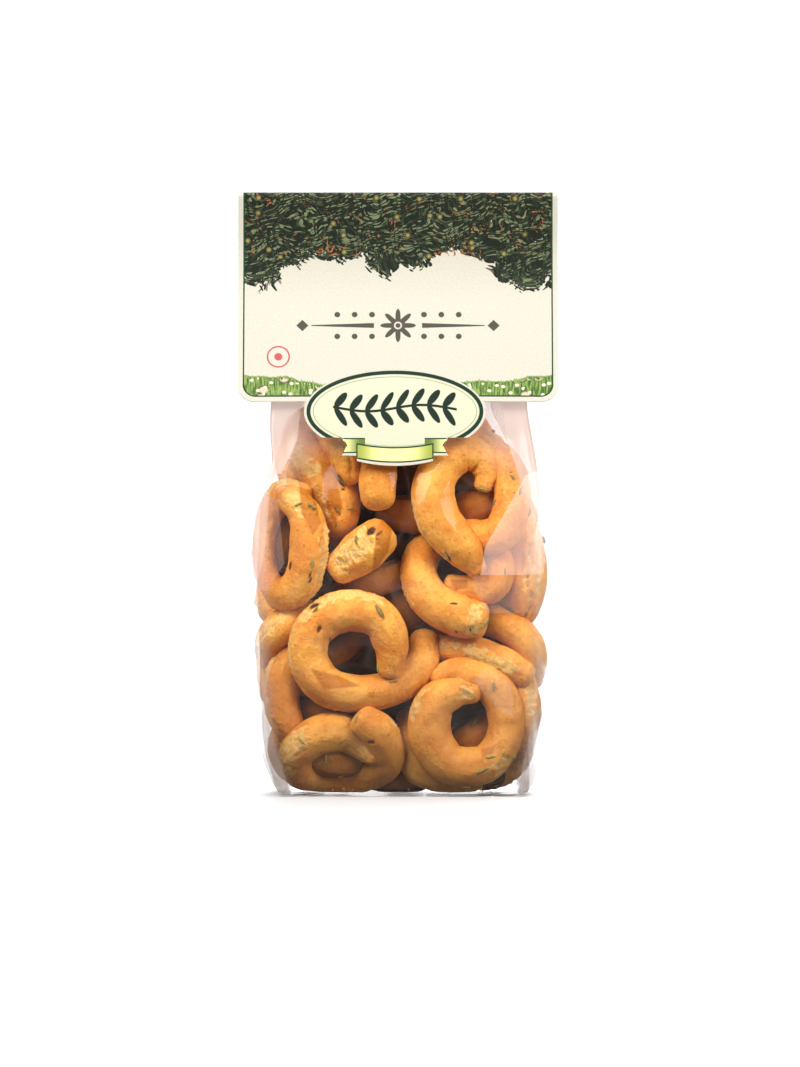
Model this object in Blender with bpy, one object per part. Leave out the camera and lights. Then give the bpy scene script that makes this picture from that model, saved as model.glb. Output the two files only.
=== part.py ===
"""A clear block-bottom bag of taralli, closed by a folded header card.

The bag is one closed solid of its filled outer shape: a flat base, four upright
creases, side gussets that bulge low down and fold inwards at the shoulders, and a
flat neck that runs up between the two panels of the card. The rings of dough inside
show in it as relief, where the film is drawn over them. The card is one sheet of
board with a die-cut front: a rectangle with round corners, and an oval lobe with a
ribbon below it.

Metres, +Z up, the shown side faces -Y. The origin is at the middle of the base.
"""

import math

import bmesh
import bpy

# Driving dimensions, in metres
HEIGHT = 0.217  # from the base to the card's fold
NECK_TOP = 0.2152  # the film's top edge, just inside the fold

# The bag's upright creases and silhouettes: (height, distance) stations, read up the bag
LEFT_CREASE = (
    (0.000, -0.0428), (0.017, -0.0472), (0.040, -0.0488), (0.085, -0.0492),
    (0.103, -0.0484), (0.114, -0.0462), (0.121, -0.0450), (0.131, -0.0456), (0.150, -0.0450), (0.216, -0.0450),
)
RIGHT_CREASE = (
    (0.000, 0.0462), (0.017, 0.0458), (0.034, 0.0440), (0.055, 0.0428), (0.075, 0.0430),
    (0.092, 0.0470), (0.104, 0.0498), (0.116, 0.0492), (0.128, 0.0472), (0.141, 0.0460), (0.216, 0.0455),
)
# How far each side panel's middle stands out beyond its creases; below zero it folds in
LEFT_BULGE = (
    (0.000, 0.0), (0.017, 0.0022), (0.040, 0.0030), (0.070, 0.0044), (0.100, 0.0040), (0.110, 0.0046),
    (0.120, -0.0005), (0.130, -0.0060), (0.141, -0.0120), (0.155, -0.0110), (0.172, 0.0),
)
RIGHT_BULGE = (
    (0.000, 0.0), (0.005, 0.0026), (0.017, 0.0058), (0.034, 0.0092), (0.052, 0.0118), (0.070, 0.0124),
    (0.088, 0.0086), (0.100, 0.0040), (0.112, -0.0010), (0.126, -0.0080), (0.141, -0.0130),
    (0.155, -0.0110), (0.172, 0.0),
)
# Half of the depth between the front and the back creases
HALF_DEPTH = (
    (0.000, 0.0255), (0.010, 0.0266), (0.030, 0.0276), (0.095, 0.0280), (0.110, 0.0268), (0.119, 0.0244),
    (0.130, 0.0204), (0.141, 0.0162), (0.155, 0.0100), (0.168, 0.0042), (0.178, 0.0013), (0.186, 0.0009),
    (0.216, 0.0009),
)
# How far the front and back panels crown out between their creases
PANEL_CROWN = (
    (0.000, 0.0004), (0.017, 0.0020), (0.040, 0.0032), (0.080, 0.0034), (0.105, 0.0026),
    (0.119, 0.0014), (0.135, 0.0008), (0.155, 0.0003), (0.172, 0.0),
)

BASE_INSET = 0.88  # the flat of the base, as a share of its outline
BASE_EDGE_LIFT = 0.0009  # the base's outline stands this far off the floor
BASE_CORNER_LIFT = 0.0011  # and its corners this much more
PANEL_STEPS = 30  # faces across the front, and across the back
GUSSET_STEPS = 8  # faces across each side panel
ROW_STEPS = ((0.0, 0.126, 0.0031), (0.126, 0.180, 0.0036), (0.180, NECK_TOP, 0.0117))

# The taralli that lie against the film. Each one is the middle line of its rope, an oval:
# (across, up, half of its width, half of its height)
FRONT_RINGS = (
    (-0.0200, 0.0150, 0.0160, 0.0085), (0.0250, 0.0275, 0.0135, 0.0165), (-0.0420, 0.0360, 0.0040, 0.0150),
    (0.0465, 0.0290, 0.0020, 0.0120), (-0.0172, 0.0520, 0.0150, 0.0150), (0.0310, 0.0525, 0.0160, 0.0090),
    (0.0215, 0.0775, 0.0140, 0.0140), (0.0455, 0.0860, 0.0020, 0.0170), (-0.0138, 0.0878, 0.0065, 0.0050),
    (-0.0400, 0.0900, 0.0080, 0.0175), (0.0255, 0.1030, 0.0130, 0.0200), (-0.0072, 0.1140, 0.0010, 0.0060),
    (-0.0290, 0.1095, 0.0095, 0.0170),
)
BACK_RINGS = (
    (-0.0300, 0.0190, 0.0135, 0.0125), (0.0040, 0.0175, 0.0130, 0.0120), (0.0360, 0.0215, 0.0110, 0.0145),
    (-0.0350, 0.0540, 0.0120, 0.0140), (-0.0050, 0.0500, 0.0140, 0.0130), (0.0280, 0.0550, 0.0135, 0.0135),
    (-0.0230, 0.0860, 0.0140, 0.0130), (0.0120, 0.0850, 0.0135, 0.0140), (0.0400, 0.0880, 0.0090, 0.0145),
    (-0.0300, 0.1150, 0.0125, 0.0110), (0.0040, 0.1150, 0.0130, 0.0110), (0.0320, 0.1150, 0.0115, 0.0115),
)
FILM_REACH = 0.0085  # the film leaves a rope this far from its middle line
RELIEF = 0.0024  # and sinks in by this much between the ropes
RELIEF_LOW, RELIEF_HIGH = (0.002, 0.010), (0.122, 0.136)  # heights over which the relief starts and ends
RELIEF_SIDE = 6  # power by which it fades towards the upright creases

# The header card, in the flat: across, and down from the fold along the board
CARD_HALF_WIDTH = 0.0576
CARD_DROP = 0.0792  # from the fold to each panel's lower edge
CARD_CORNER = 0.0064
BOARD = 0.0005
FOLD_RADIUS = 0.0015  # of the board's middle, over the film's top edge
FLAT_RUN = 0.014  # the board hangs straight this far below the fold
FLARE_END = 0.040  # and from here on it leans out by the full angle
FLARE = math.radians(21)

# The die-cut lobe on the front panel: an oval with a ribbon across its lower edge
LOBE_CENTRE = (-0.0011, 0.0830)
LOBE_AXES = (0.0326, 0.0166)
RIBBON_TAIL = 0.0190  # half of the ribbon's length, tails included
RIBBON_BAND = 0.0136  # half of its front band
RIBBON_TAIL_ENDS = (0.0099, 0.0166)  # the tails' upper and lower edges, below the lobe's centre
RIBBON_BAND_ENDS = (0.0186, 0.0204)  # the band's lower edge at its ends and at its middle
OVAL_STEPS = 14
CORNER_STEPS = 6
BAND_STEPS = 8
BEND_STEP = 0.004  # length of board between two bend lines
FOLD_STEPS = 4  # bend lines in each quarter turn of the fold
FLARE_STEP = 0.001  # the flare is summed in steps of this length

FILM_COLOUR = (0.90, 0.62, 0.36, 1.0)
CARD_COLOUR = (0.93, 0.90, 0.80, 1.0)


def clear_scene():
    for obj in list(bpy.data.objects):
        bpy.data.objects.remove(obj)


def material(name, colour, roughness):
    made = bpy.data.materials.new(name)
    made.use_nodes = True
    shader = made.node_tree.nodes["Principled BSDF"]
    shader.inputs["Base Color"].default_value = colour
    shader.inputs["Roughness"].default_value = roughness
    shader.inputs["Metallic"].default_value = 0.0
    return made


def add_object(name, mesh_maker, finish):
    mesh = bpy.data.meshes.new(name)
    shape = bmesh.new()
    mesh_maker(shape)
    bmesh.ops.recalc_face_normals(shape, faces=shape.faces)
    if shape.calc_volume(signed=True) < 0:
        bmesh.ops.reverse_faces(shape, faces=shape.faces)
    shape.to_mesh(mesh)
    shape.free()
    mesh.materials.append(finish)
    mesh.shade_smooth()
    mesh.set_sharp_from_angle(angle=math.radians(40))
    made = bpy.data.objects.new(name, mesh)
    bpy.context.scene.collection.objects.link(made)
    return made


def along(stations, height):
    """The value at a height, on a smooth curve through the stations with no overshoot."""
    if height <= stations[0][0]:
        return stations[0][1]
    if height >= stations[-1][0]:
        return stations[-1][1]
    slopes = [(b[1] - a[1]) / (b[0] - a[0]) for a, b in zip(stations, stations[1:])]
    at = next(i for i, (a, b) in enumerate(zip(stations, stations[1:])) if a[0] <= height <= b[0])

    def tangent(index):
        if index in (0, len(stations) - 1):
            return slopes[min(index, len(slopes) - 1)]
        before, after = slopes[index - 1], slopes[index]
        return 0.0 if before * after <= 0 else 2 * before * after / (before + after)

    (low, start), (high, end) = stations[at], stations[at + 1]
    span = high - low
    t = (height - low) / span
    return (
        start * (2 * t**3 - 3 * t**2 + 1)
        + span * tangent(at) * (t**3 - 2 * t**2 + t)
        + end * (3 * t**2 - 2 * t**3)
        + span * tangent(at + 1) * (t**3 - t**2)
    )


def gusset_reach(bulge, share):
    """How far a side panel stands out at a share of its depth, from -1 at one crease to 1 at the other."""
    if bulge >= 0:
        return bulge * (1 - share**2)
    return bulge * (1 - abs(share))


def ramp(value, low, high):
    """0 below low and 1 above high, smooth between."""
    t = min(max((value - low) / (high - low), 0.0), 1.0)
    return t * t * (3 - 2 * t)


def from_rope(across, up, ring):
    """How far a point of a panel is from the middle line of a ring, along the line to the ring's middle."""
    x, z = across - ring[0], up - ring[1]
    reach = math.hypot(x / ring[2], z / ring[3])
    if reach < 1e-6:
        return min(ring[2], ring[3])
    return abs(reach - 1) * math.hypot(x, z) / reach


def sunk(across, up, share, rings):
    """How far the film sinks in at a point of a panel, none over a rope and none at the panel's edges."""
    nearest = min(from_rope(across, up, ring) for ring in rings)
    between = min(nearest / FILM_REACH, 1.0) ** 2
    calm = ramp(up, *RELIEF_LOW) * (1 - ramp(up, *RELIEF_HIGH)) * (1 - share**RELIEF_SIDE)
    return RELIEF * between * calm


def bag_section(height):
    """The bag's outline at a height, anticlockwise seen from above, from the front left crease."""
    left, right = along(LEFT_CREASE, height), along(RIGHT_CREASE, height)
    depth, crown = along(HALF_DEPTH, height), along(PANEL_CROWN, height)
    middle, half = (left + right) / 2, (right - left) / 2
    across = [-1 + 2 * i / PANEL_STEPS for i in range(PANEL_STEPS)]
    deep = [-1 + 2 * i / GUSSET_STEPS for i in range(GUSSET_STEPS)]
    front = [
        (middle + half * t, -depth - crown * (1 - t**2) + sunk(middle + half * t, height, t, FRONT_RINGS))
        for t in across
    ]
    right_side = [(right + gusset_reach(along(RIGHT_BULGE, height), t), depth * t) for t in deep]
    back = [
        (middle - half * t, depth + crown * (1 - t**2) - sunk(middle - half * t, height, t, BACK_RINGS))
        for t in across
    ]
    left_side = [(left - gusset_reach(along(LEFT_BULGE, height), t), -depth * t) for t in deep]
    return front + right_side + back + left_side


def base_lift(x, y):
    """The base's outline curls up a little, most of all at its corners."""
    reach = abs(x) * abs(y) / (LEFT_CREASE[0][1] * -HALF_DEPTH[0][1])
    return BASE_EDGE_LIFT + BASE_CORNER_LIFT * reach**2


def row_heights():
    heights = []
    for low, high, step in ROW_STEPS:
        count = max(1, round((high - low) / step))
        heights += [low + (high - low) * i / count for i in range(count)]
    return heights[1:] + [NECK_TOP]


def bag_shape(shape):
    outline = bag_section(0.0)
    rows = [
        [(x * BASE_INSET, y * BASE_INSET, 0.0) for x, y in outline],
        [(x, y, base_lift(x, y)) for x, y in outline],
    ]
    rows += [[(x, y, height) for x, y in bag_section(height)] for height in row_heights()]
    loops = [[shape.verts.new(point) for point in row] for row in rows]
    for lower, upper in zip(loops, loops[1:]):
        for i in range(len(lower)):
            j = (i + 1) % len(lower)
            shape.faces.new((lower[i], lower[j], upper[j], upper[i]))
    shape.faces.new(list(reversed(loops[0])))
    shape.faces.new(loops[-1])


def arc(centre, axes, start, end, steps):
    """Points on an ellipse from one angle to another, in degrees, both ends included."""
    angles = [math.radians(start + (end - start) * i / steps) for i in range(steps + 1)]
    return [(centre[0] + axes[0] * math.cos(a), centre[1] + axes[1] * math.sin(a)) for a in angles]


def lobe_outline():
    """The lobe's edge from where it leaves the panel's lower edge on the right, round to the left."""
    down = LOBE_AXES[1]
    leaves = math.degrees(math.asin((CARD_DROP - LOBE_CENTRE[1]) / down))
    meets = math.degrees(math.asin(RIBBON_TAIL_ENDS[0] / down))
    right = arc((0, 0), LOBE_AXES, leaves, meets, OVAL_STEPS)
    right += [(RIBBON_TAIL, RIBBON_TAIL_ENDS[0]), (RIBBON_TAIL, RIBBON_TAIL_ENDS[1])]
    right += [(RIBBON_BAND, RIBBON_TAIL_ENDS[1])]
    end, deepest = RIBBON_BAND_ENDS
    for i in range(BAND_STEPS + 1):
        t = 1 - i / BAND_STEPS
        right.append((RIBBON_BAND * t, deepest + (end - deepest) * t**2))
    left = [(-x, y) for x, y in reversed(right[:-1])]
    return [(LOBE_CENTRE[0] + x, LOBE_CENTRE[1] + y) for x, y in right + left]


def card_outline():
    """The whole card in the flat: front panel at positive distances from the fold, back at negative."""
    corner = (CARD_CORNER, CARD_CORNER)
    side, low = CARD_HALF_WIDTH - CARD_CORNER, CARD_DROP - CARD_CORNER
    return (
        arc((side, low), corner, 0, 90, CORNER_STEPS)
        + lobe_outline()
        + arc((-side, low), corner, 90, 180, CORNER_STEPS)
        + arc((-side, -low), corner, 180, 270, CORNER_STEPS)
        + arc((side, -low), corner, 270, 360, CORNER_STEPS)
    )


def board_place(distance):
    """Where the board's middle is, (out, up), and its lean off the vertical, at a distance down one panel."""
    turn = FOLD_RADIUS * math.pi / 2
    top = HEIGHT - BOARD / 2 - FOLD_RADIUS
    if distance < turn:
        angle = distance / FOLD_RADIUS
        return FOLD_RADIUS * math.sin(angle), top + FOLD_RADIUS * math.cos(angle), math.pi / 2 - angle
    steps = max(1, math.ceil((distance - turn) / FLARE_STEP))
    step = (distance - turn) / steps
    out, height, lean = FOLD_RADIUS, top, 0.0
    for i in range(steps):
        run = turn + (i + 0.5) * step
        share = min(max((run - FLAT_RUN) / (FLARE_END - FLAT_RUN), 0.0), 1.0)
        lean = FLARE * share
        out += step * math.sin(lean)
        height -= step * math.cos(lean)
    return out, height, lean


def card_point(across, along_board, raised):
    """A point of the folded card: raised is how far it stands outside the board's middle."""
    out, height, lean = board_place(abs(along_board))
    side = -1 if along_board >= 0 else 1
    return across, side * (out + raised * math.cos(lean)), height + raised * math.sin(lean)


def bend_lines():
    """Distances from the fold at which the board may bend."""
    turn = FOLD_RADIUS * math.pi / 2
    fine = [turn * (i + 1) / FOLD_STEPS for i in range(FOLD_STEPS)]
    coarse = [FLAT_RUN + BEND_STEP * i for i in range(int((FLARE_END - FLAT_RUN) / BEND_STEP) + 2)]
    return fine + coarse


def card_shape(shape):
    outline = [shape.verts.new((x, y, 0.0)) for x, y in card_outline()]
    shape.faces.new(outline)
    for line in [0.0] + [sign * d for d in bend_lines() for sign in (1, -1)]:
        everything = shape.verts[:] + shape.edges[:] + shape.faces[:]
        bmesh.ops.bisect_plane(shape, geom=everything, dist=1e-7, plane_co=(0, line, 0), plane_no=(0, 1, 0))
    flat = shape.faces[:]
    lifted = bmesh.ops.extrude_face_region(shape, geom=flat)["geom"]
    raised = {v for v in lifted if isinstance(v, bmesh.types.BMVert)}
    for vert in shape.verts:
        side = BOARD / 2 if vert in raised else -BOARD / 2
        vert.co = card_point(vert.co.x, vert.co.y, side)


def build():
    clear_scene()
    film = material("clear film with taralli", FILM_COLOUR, 0.25)
    board = material("printed board", CARD_COLOUR, 0.6)
    add_object("bag", bag_shape, film)
    add_object("header_card", card_shape, board)


build()
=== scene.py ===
"""A clear block-bottom bag of taralli under a folded header card: how it looks.

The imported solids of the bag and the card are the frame. Units are metres, +Z is up, and the shown side
faces -Y. Tables of sizes are in millimetres and say so.
"""

import math
import random

import bmesh
import bpy
import numpy as np
from mathutils import Matrix, Vector, noise
from mathutils.bvhtree import BVHTree
from mathutils.kdtree import KDTree


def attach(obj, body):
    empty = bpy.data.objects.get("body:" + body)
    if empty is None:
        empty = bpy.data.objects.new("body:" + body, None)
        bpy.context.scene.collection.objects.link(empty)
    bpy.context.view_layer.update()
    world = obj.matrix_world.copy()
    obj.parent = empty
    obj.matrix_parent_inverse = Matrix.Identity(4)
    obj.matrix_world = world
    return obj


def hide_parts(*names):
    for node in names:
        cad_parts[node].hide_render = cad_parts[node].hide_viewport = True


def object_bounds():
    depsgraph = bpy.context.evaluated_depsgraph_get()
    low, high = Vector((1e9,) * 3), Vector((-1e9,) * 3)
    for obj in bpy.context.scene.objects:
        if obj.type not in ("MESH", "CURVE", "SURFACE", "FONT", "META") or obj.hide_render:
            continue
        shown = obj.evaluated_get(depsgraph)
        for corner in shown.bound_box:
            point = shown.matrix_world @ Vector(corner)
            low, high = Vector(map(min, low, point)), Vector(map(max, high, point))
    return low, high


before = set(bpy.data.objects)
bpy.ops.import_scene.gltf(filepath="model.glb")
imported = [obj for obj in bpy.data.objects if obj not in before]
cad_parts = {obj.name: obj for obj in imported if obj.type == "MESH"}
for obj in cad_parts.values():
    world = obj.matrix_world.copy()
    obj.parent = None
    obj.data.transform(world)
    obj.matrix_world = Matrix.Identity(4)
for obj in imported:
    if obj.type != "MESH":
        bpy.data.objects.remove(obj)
cad_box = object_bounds()


# The taralli
# Each is a rope of dough as thick as a finger, rolled by hand, lapped end over end into a ring, boiled, and
# baked until its skin bursts along the outer side and pale crumb shows. They lie loose in the bag. Those that
# show at the front are laid one by one along their own routes, and the rest fill the bag behind them.
MM = 0.001
PATH_STEPS = 160  # even steps along each rope's route
LAP_RISE = 0.2  # the share of a ring's length over which its ends rise over each other
UNEVEN, SLIMMER = 0.05, 0.14  # how much a ring's thickness wanders, and how much slimmer its ends are
FRONT, GAP, LOOSE = 0, 1, 2  # ranks: those that show at the front, those in its gaps, and those behind
BEADS = 20  # balls along a rope that stand for it while the bag is filled
ROUNDS, LAST = 190, 5  # of filling the bag, and those at the end in which only the film still pushes
YIELD, HARDEST = 0.3, 0.35  # the shares of an overlap, and of a rope's hardest push, that count in a round
HELD, BUDGE = 0.06, 0.0004  # the pull of one that isn't loose back to its route, and its most in a round
FORWARD = 0.002  # the most that one at the front or in a gap comes forward
SINK = 0.00003  # how far a loose one sinks in a round
FILM_GAP = 0.0004  # what dough keeps to the bag's skin
BOTTOM = 0.0008  # the lowest that dough lies
CURTAIN = 0.0  # the middle of no loose rope comes further forward than this
CEILING = 0.142  # the highest that a loose one reaches


def ease(t):
    t = np.clip(t, 0, 1)
    return t * t * (3 - 2 * t)


def even_run(points):
    """A smooth run through a few points (across, up, forward, thickness), in even steps, in metres."""
    p = np.array(points, dtype=float)
    p = np.vstack([2 * p[0] - p[1], p, 2 * p[-1] - p[-2]])
    t = np.linspace(0, len(p) - 3 - 1e-6, 600)
    i = t.astype(int)
    f = (t - i)[:, None]
    a, b, c, d = p[i], p[i + 1], p[i + 2], p[i + 3]
    run = (b + (c - a) * f / 2 + (2 * a - 5 * b + 4 * c - d) * f**2 / 2
           + (3 * b - a - 3 * c + d) * f**3 / 2)
    length = np.concatenate([[0], np.cumsum(np.linalg.norm(np.diff(run[:, :3], axis=0), axis=1))])
    even = np.linspace(0, length[-1], PATH_STEPS)
    return np.stack([np.interp(even, length, run[:, k]) for k in range(4)], axis=1) * MM


class Tarallo:
    """One rope of dough: its route in a plane that faces the front, how thick it is, and how it lies.

    A seam has its angle round the rope, width and depth. A torn patch has its start and end as shares of the
    rope's length, its angle and its half-width: angle 0 is the ring's outer side and 90 its front. Blunt is
    how far each end stands out past the route, in radii. A rope is only pushed by those of its own rank or a
    lower one.
    """

    def __init__(self, name, points, at, turned=(0, 0, 0), seam=(20, 1, 1), torn=(), rank=LOOSE,
                 blunt=(0.75, 0.75)):
        self.name, self.seam, self.torn, self.blunt, self.rank = name, seam, torn, blunt, rank
        run = even_run(points)
        self.path, self.girth = run[:, :3], run[:, 3]
        self.length = np.linalg.norm(np.diff(self.path, axis=0), axis=1).sum()
        yaw, pitch, roll = (math.radians(angle) for angle in turned)
        upright = Matrix(((1, 0, 0), (0, 0, -1), (0, 1, 0)))
        facing = Matrix.Rotation(yaw, 3, "Z") @ Matrix.Rotation(-pitch, 3, "X") @ upright
        self.turn = np.array(facing @ Matrix.Rotation(roll, 3, "Z"))
        self.place = np.array(at) * MM
        self.anchor = self.place.copy()
        chosen = np.linspace(0, PATH_STEPS - 1, BEADS).astype(int)
        self.beads, self.bead_radius = self.path[chosen], self.girth[chosen]
        swept = np.cross(self.path[:-1] - self.path.mean(0), np.diff(self.path, axis=0))[:, 2].sum()
        self.side = 1 if swept > 0 else -1

    def placed(self, points):
        return points @ self.turn.T + self.place


def laid(name, route, rank=FRONT, **more):
    """A tarallo along a route through points (across, up, deep, radius), mm, in the bag's own frame."""
    route = np.array(route, dtype=float)
    middle = route[:, :3].mean(axis=0)
    points = route - (*middle, 0)
    points[:, 2] *= -1
    return Tarallo(name, points, (middle[0], middle[2], middle[1]), rank=rank, **more)


def ring(name, at, half, start, sweep, turned, ends, lifts, rope, **more):
    """A tarallo on an oval whose two ends drift in or out, and to the front or back, where they lap."""
    t = np.linspace(0, 1, 24)
    around = np.radians(start + sweep * t)
    head, tail = ease(1 - t / LAP_RISE), ease((t - 1 + LAP_RISE) / LAP_RISE)
    out = ends[0] * head + ends[1] * tail
    across, up = (half[0] + out) * np.cos(around), (half[1] + out) * np.sin(around)
    lift = lifts[0] * head + lifts[1] * tail
    thick = rope * (1 + UNEVEN * np.sin(around * 2 + start) - SLIMMER * head - SLIMMER * tail)
    return Tarallo(name, np.stack([across, up, lift, thick], axis=1), at, turned, **more)


# Those at the front: points across, up, deep, and the rope's radius there, mm
front_taralli = [
    laid("upper left", [(-26, 137, -5, 5.5), (-34, 132, -9, 6.4), (-34.2, 124.0, -13, 7.3),
                        (-26.8, 115.0, -17.5, 8.0), (-21.0, 106.4, -20, 7.4), (-21.2, 99.0, -18.5, 6.4),
                        (-27, 93, -9, 5.6)], seam=(-40, 1.0, 0.7),
         torn=[(0.3, 0.52, 30, 4.4), (0.52, 0.8, 10, 1.6)]),
    laid("upper left lap", [(-27, 138, -5, 5.0), (-23.4, 130, -9.5, 5.8), (-19.6, 122, -13, 5.6),
                            (-18, 115, -14, 4.8)], seam=(60, 1.0, 0.5), torn=[(0.2, 0.7, 80, 2.4)]),
    laid("far left", [(-38.9, 107.0, -20, 5.0), (-33.3, 100.8, -22.5, 6.2), (-32.0, 90.0, -24, 6.9),
                      (-34.2, 78.5, -23, 6.6), (-40.7, 72.6, -20, 5.8), (-46.6, 78.0, -15, 4.6),
                      (-48.2, 90.0, -13, 4.0), (-46.0, 101.0, -13, 4.4), (-40.5, 107.6, -15, 5.4),
                      (-34.5, 107.8, -16, 4.6)], seam=(26, 1.1, 1.0),
         torn=[(0.0, 0.12, 70, 4.0), (0.14, 0.44, 8, 2.6), (0.84, 1.0, 50, 4.0)]),
    laid("end on", [(-7.2, 108.2, -20, 6.3), (-7.3, 114.2, -18, 6.8), (-6.8, 121.0, -11, 6.2),
                    (-5, 125.6, 0, 5.8)], seam=(180, 1, 0.2), blunt=(0.85, 0.8)),
    laid("crust", [(-20.2, 82.4, -21, 6.2), (-13.3, 87.6, -22, 8.0), (-7.2, 92.8, -21, 7.4)],
         seam=(95, 2.9, 0.4), torn=[(0.0, 0.92, 112, 5.6)], blunt=(0.8, 0.8)),
    laid("upper right", [(28.3, 81.8, -23.5, 3.6), (23.4, 88.6, -23.8, 6.9), (15.3, 98.6, -23, 7.9),
                         (12.6, 109.6, -21.5, 7.8), (16.0, 118.4, -18.5, 7.3), (23.5, 123.2, -16.5, 6.9),
                         (30.2, 120.6, -16.5, 5.8), (31.6, 115.4, -17.5, 4.4), (30.6, 111.8, -18.5, 3.2)],
         seam=(14, 0.9, 0.4), torn=[(0.14, 0.44, 16, 2.8), (0.6, 0.7, 40, 1.6)]),
    laid("upper right behind", [(31, 125.0, -9, 5.0), (38.8, 118.5, -13, 6.1), (40.9, 106.6, -15.5, 6.5),
                                (37.9, 95.8, -16.5, 6.8), (30.6, 92.9, -13.5, 6.3), (21, 96.4, -7, 5.8)],
         seam=(16, 1.1, 0.6), torn=[(0.12, 0.4, 20, 2.4)]),
    laid("middle right", [(29.6, 63.4, -23.6, 6.4), (21.6, 65.0, -23.6, 7.5), (12.4, 70.0, -22.4, 7.3),
                          (7.6, 79.2, -19.5, 6.7), (9.9, 87.8, -13, 6.2), (18.7, 91.6, -5, 6.0),
                          (29.0, 90.0, -3.5, 6.2), (35.6, 83.0, -12, 6.3), (33.4, 75.4, -18, 6.2),
                          (25.2, 74.6, -19.5, 4.9), (19.4, 76.6, -18.5, 3.0)], seam=(-24, 1.1, 0.5),
         torn=[(0.0, 0.05, 90, 9.0), (0.2, 0.42, 16, 2.8), (0.64, 0.8, 22, 3.0)], blunt=(0.45, 0.9)),
    laid("right edge", [(38.5, 104, 1, 6.0), (43.0, 99.0, -7, 6.4), (45.8, 90.0, -12, 6.6),
                        (47.0, 79.2, -15, 6.8), (45.4, 69.0, -13.5, 6.4), (41.5, 63.5, -6, 6.0),
                        (40.5, 68, 3, 6.0)], seam=(58, 0.8, 1.1), torn=[(0.3, 0.6, 30, 1.4)]),
    laid("centre left", [(-3.4, 45.4, -24, 4.0), (-2.5, 54.0, -24, 6.2), (-6.4, 63.6, -24, 7.0),
                         (-18.0, 66.8, -24, 7.6), (-29.0, 61.6, -24, 7.3), (-32.4, 51.5, -23.6, 7.1),
                         (-27.2, 40.8, -23, 7.2), (-15.1, 37.0, -21.5, 6.7), (-1.1, 39.2, -19, 6.2),
                         (7.9, 46.8, -16, 6.2), (9.4, 55.4, -12.5, 5.4)], seam=(30, 1.1, 0.35),
         torn=[(0.18, 0.40, 30, 3.6), (0.40, 0.52, 24, 1.8)]),
    laid("leaning right", [(45.2, 43.6, -22.5, 5.0), (36.7, 48.2, -23, 5.8), (25.2, 52.4, -21, 5.4),
                           (14, 53, -15.5, 5.0), (8, 57, -7, 5.2), (15, 62, -2, 5.5), (26, 64.5, -6, 5.8),
                           (36.4, 61.6, -15.5, 6.0), (44.4, 57.2, -18.4, 6.3), (47.9, 50.5, -16, 6.0),
                           (46.5, 42, -6, 6.0)], seam=(-60, 1.4, 0.5),
         torn=[(0.03, 0.2, 80, 3.6), (0.2, 0.3, 100, 1.6), (0.74, 0.86, 60, 2.0)]),
    laid("lower right", [(26.8, 37.2, -23.6, 3.8), (20.5, 37.2, -23.8, 5.7), (13.1, 33.0, -23.4, 7.3),
                         (11.5, 21.6, -23.2, 7.8), (18.7, 11.8, -23.6, 7.3), (30.2, 11.4, -23, 7.0),
                         (37.5, 19.1, -21, 6.5), (38.5, 30.6, -20, 6.7), (33.1, 40.3, -20.4, 6.6),
                         (22.3, 44.2, -19.4, 5.8), (14.6, 42.4, -17.5, 4.4)], seam=(-26, 1.0, 0.35),
         torn=[(0.12, 0.2, 30, 3.0), (0.3, 0.46, 8, 1.4), (0.5, 0.56, 60, 3.4), (0.0, 0.05, 90, 3.0)]),
    laid("lower left", [(-12.4, 27.2, -24.6, 6.0), (-6.4, 22.4, -23.4, 6.8), (-4.2, 12.8, -17, 6.2),
                        (-13.7, 6.4, -8, 5.9), (-26.3, 6.4, -8, 5.9), (-35.6, 8.6, -15.5, 6.0),
                        (-36.2, 16.0, -21.5, 6.4), (-28.8, 21.8, -22.5, 7.0), (-19.8, 22.6, -19, 7.0),
                        (-13.2, 18.2, -18.6, 5.4), (-8.6, 14.4, -21.4, 3.6)], seam=(20, 1.5, 0.3),
         torn=[(0.61, 0.74, 52, 5.0), (0.04, 0.16, 20, 1.6), (0.95, 1.0, 90, 3.0)], blunt=(0.6, 0.75)),
    laid("left edge above", [(-33, 65, -8, 5.8), (-40.2, 61.5, -14, 6.4), (-45.6, 56.6, -13, 5.6),
                             (-46, 50, -6, 5.4)], seam=(30, 1.2, 0.6), torn=[(0.3, 0.8, 50, 3.0)]),
    laid("left edge below", [(-43, 53, 2, 5.6), (-45.4, 46.4, -6, 5.2), (-44.6, 36, -7, 5.0),
                             (-40, 29, -1, 5.2)], seam=(0, 1.0, 0.8)),
    laid("left behind", [(-32.5, 53.5, -8, 5.2), (-40.5, 45.8, -14, 5.9), (-41.6, 34.2, -15.2, 6.1),
                         (-38.8, 24.4, -14, 5.6), (-32.0, 18.4, -7, 5.2)], seam=(10, 1.2, 0.8),
         torn=[(0.15, 0.5, 6, 2.0)]),
    laid("right foot", [(42, 46, -4, 5.2), (45.4, 37.8, -13.5, 5.2), (46.4, 30.0, -15.4, 5.2),
                        (44.6, 21.4, -14.4, 5.2), (41.0, 13.6, -8, 5.4)], seam=(70, 1.8, 0.8),
         torn=[(0.3, 0.55, 60, 2.0)]),
    laid("foot behind", [(4.4, 27, -7, 5.0), (5.0, 18.5, -12.5, 5.4), (7.2, 9.6, -13.6, 5.6),
                         (16, 6.2, -11.5, 5.2), (27, 6.2, -6, 5.2)], seam=(0, 1.0, 0.8)),
    laid("top lump", [(19, 128, -3, 5.0), (26.2, 128.4, -10.5, 5.2), (34, 125, -2, 5.0)], seam=(90, 1, 0.5)),
]

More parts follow.
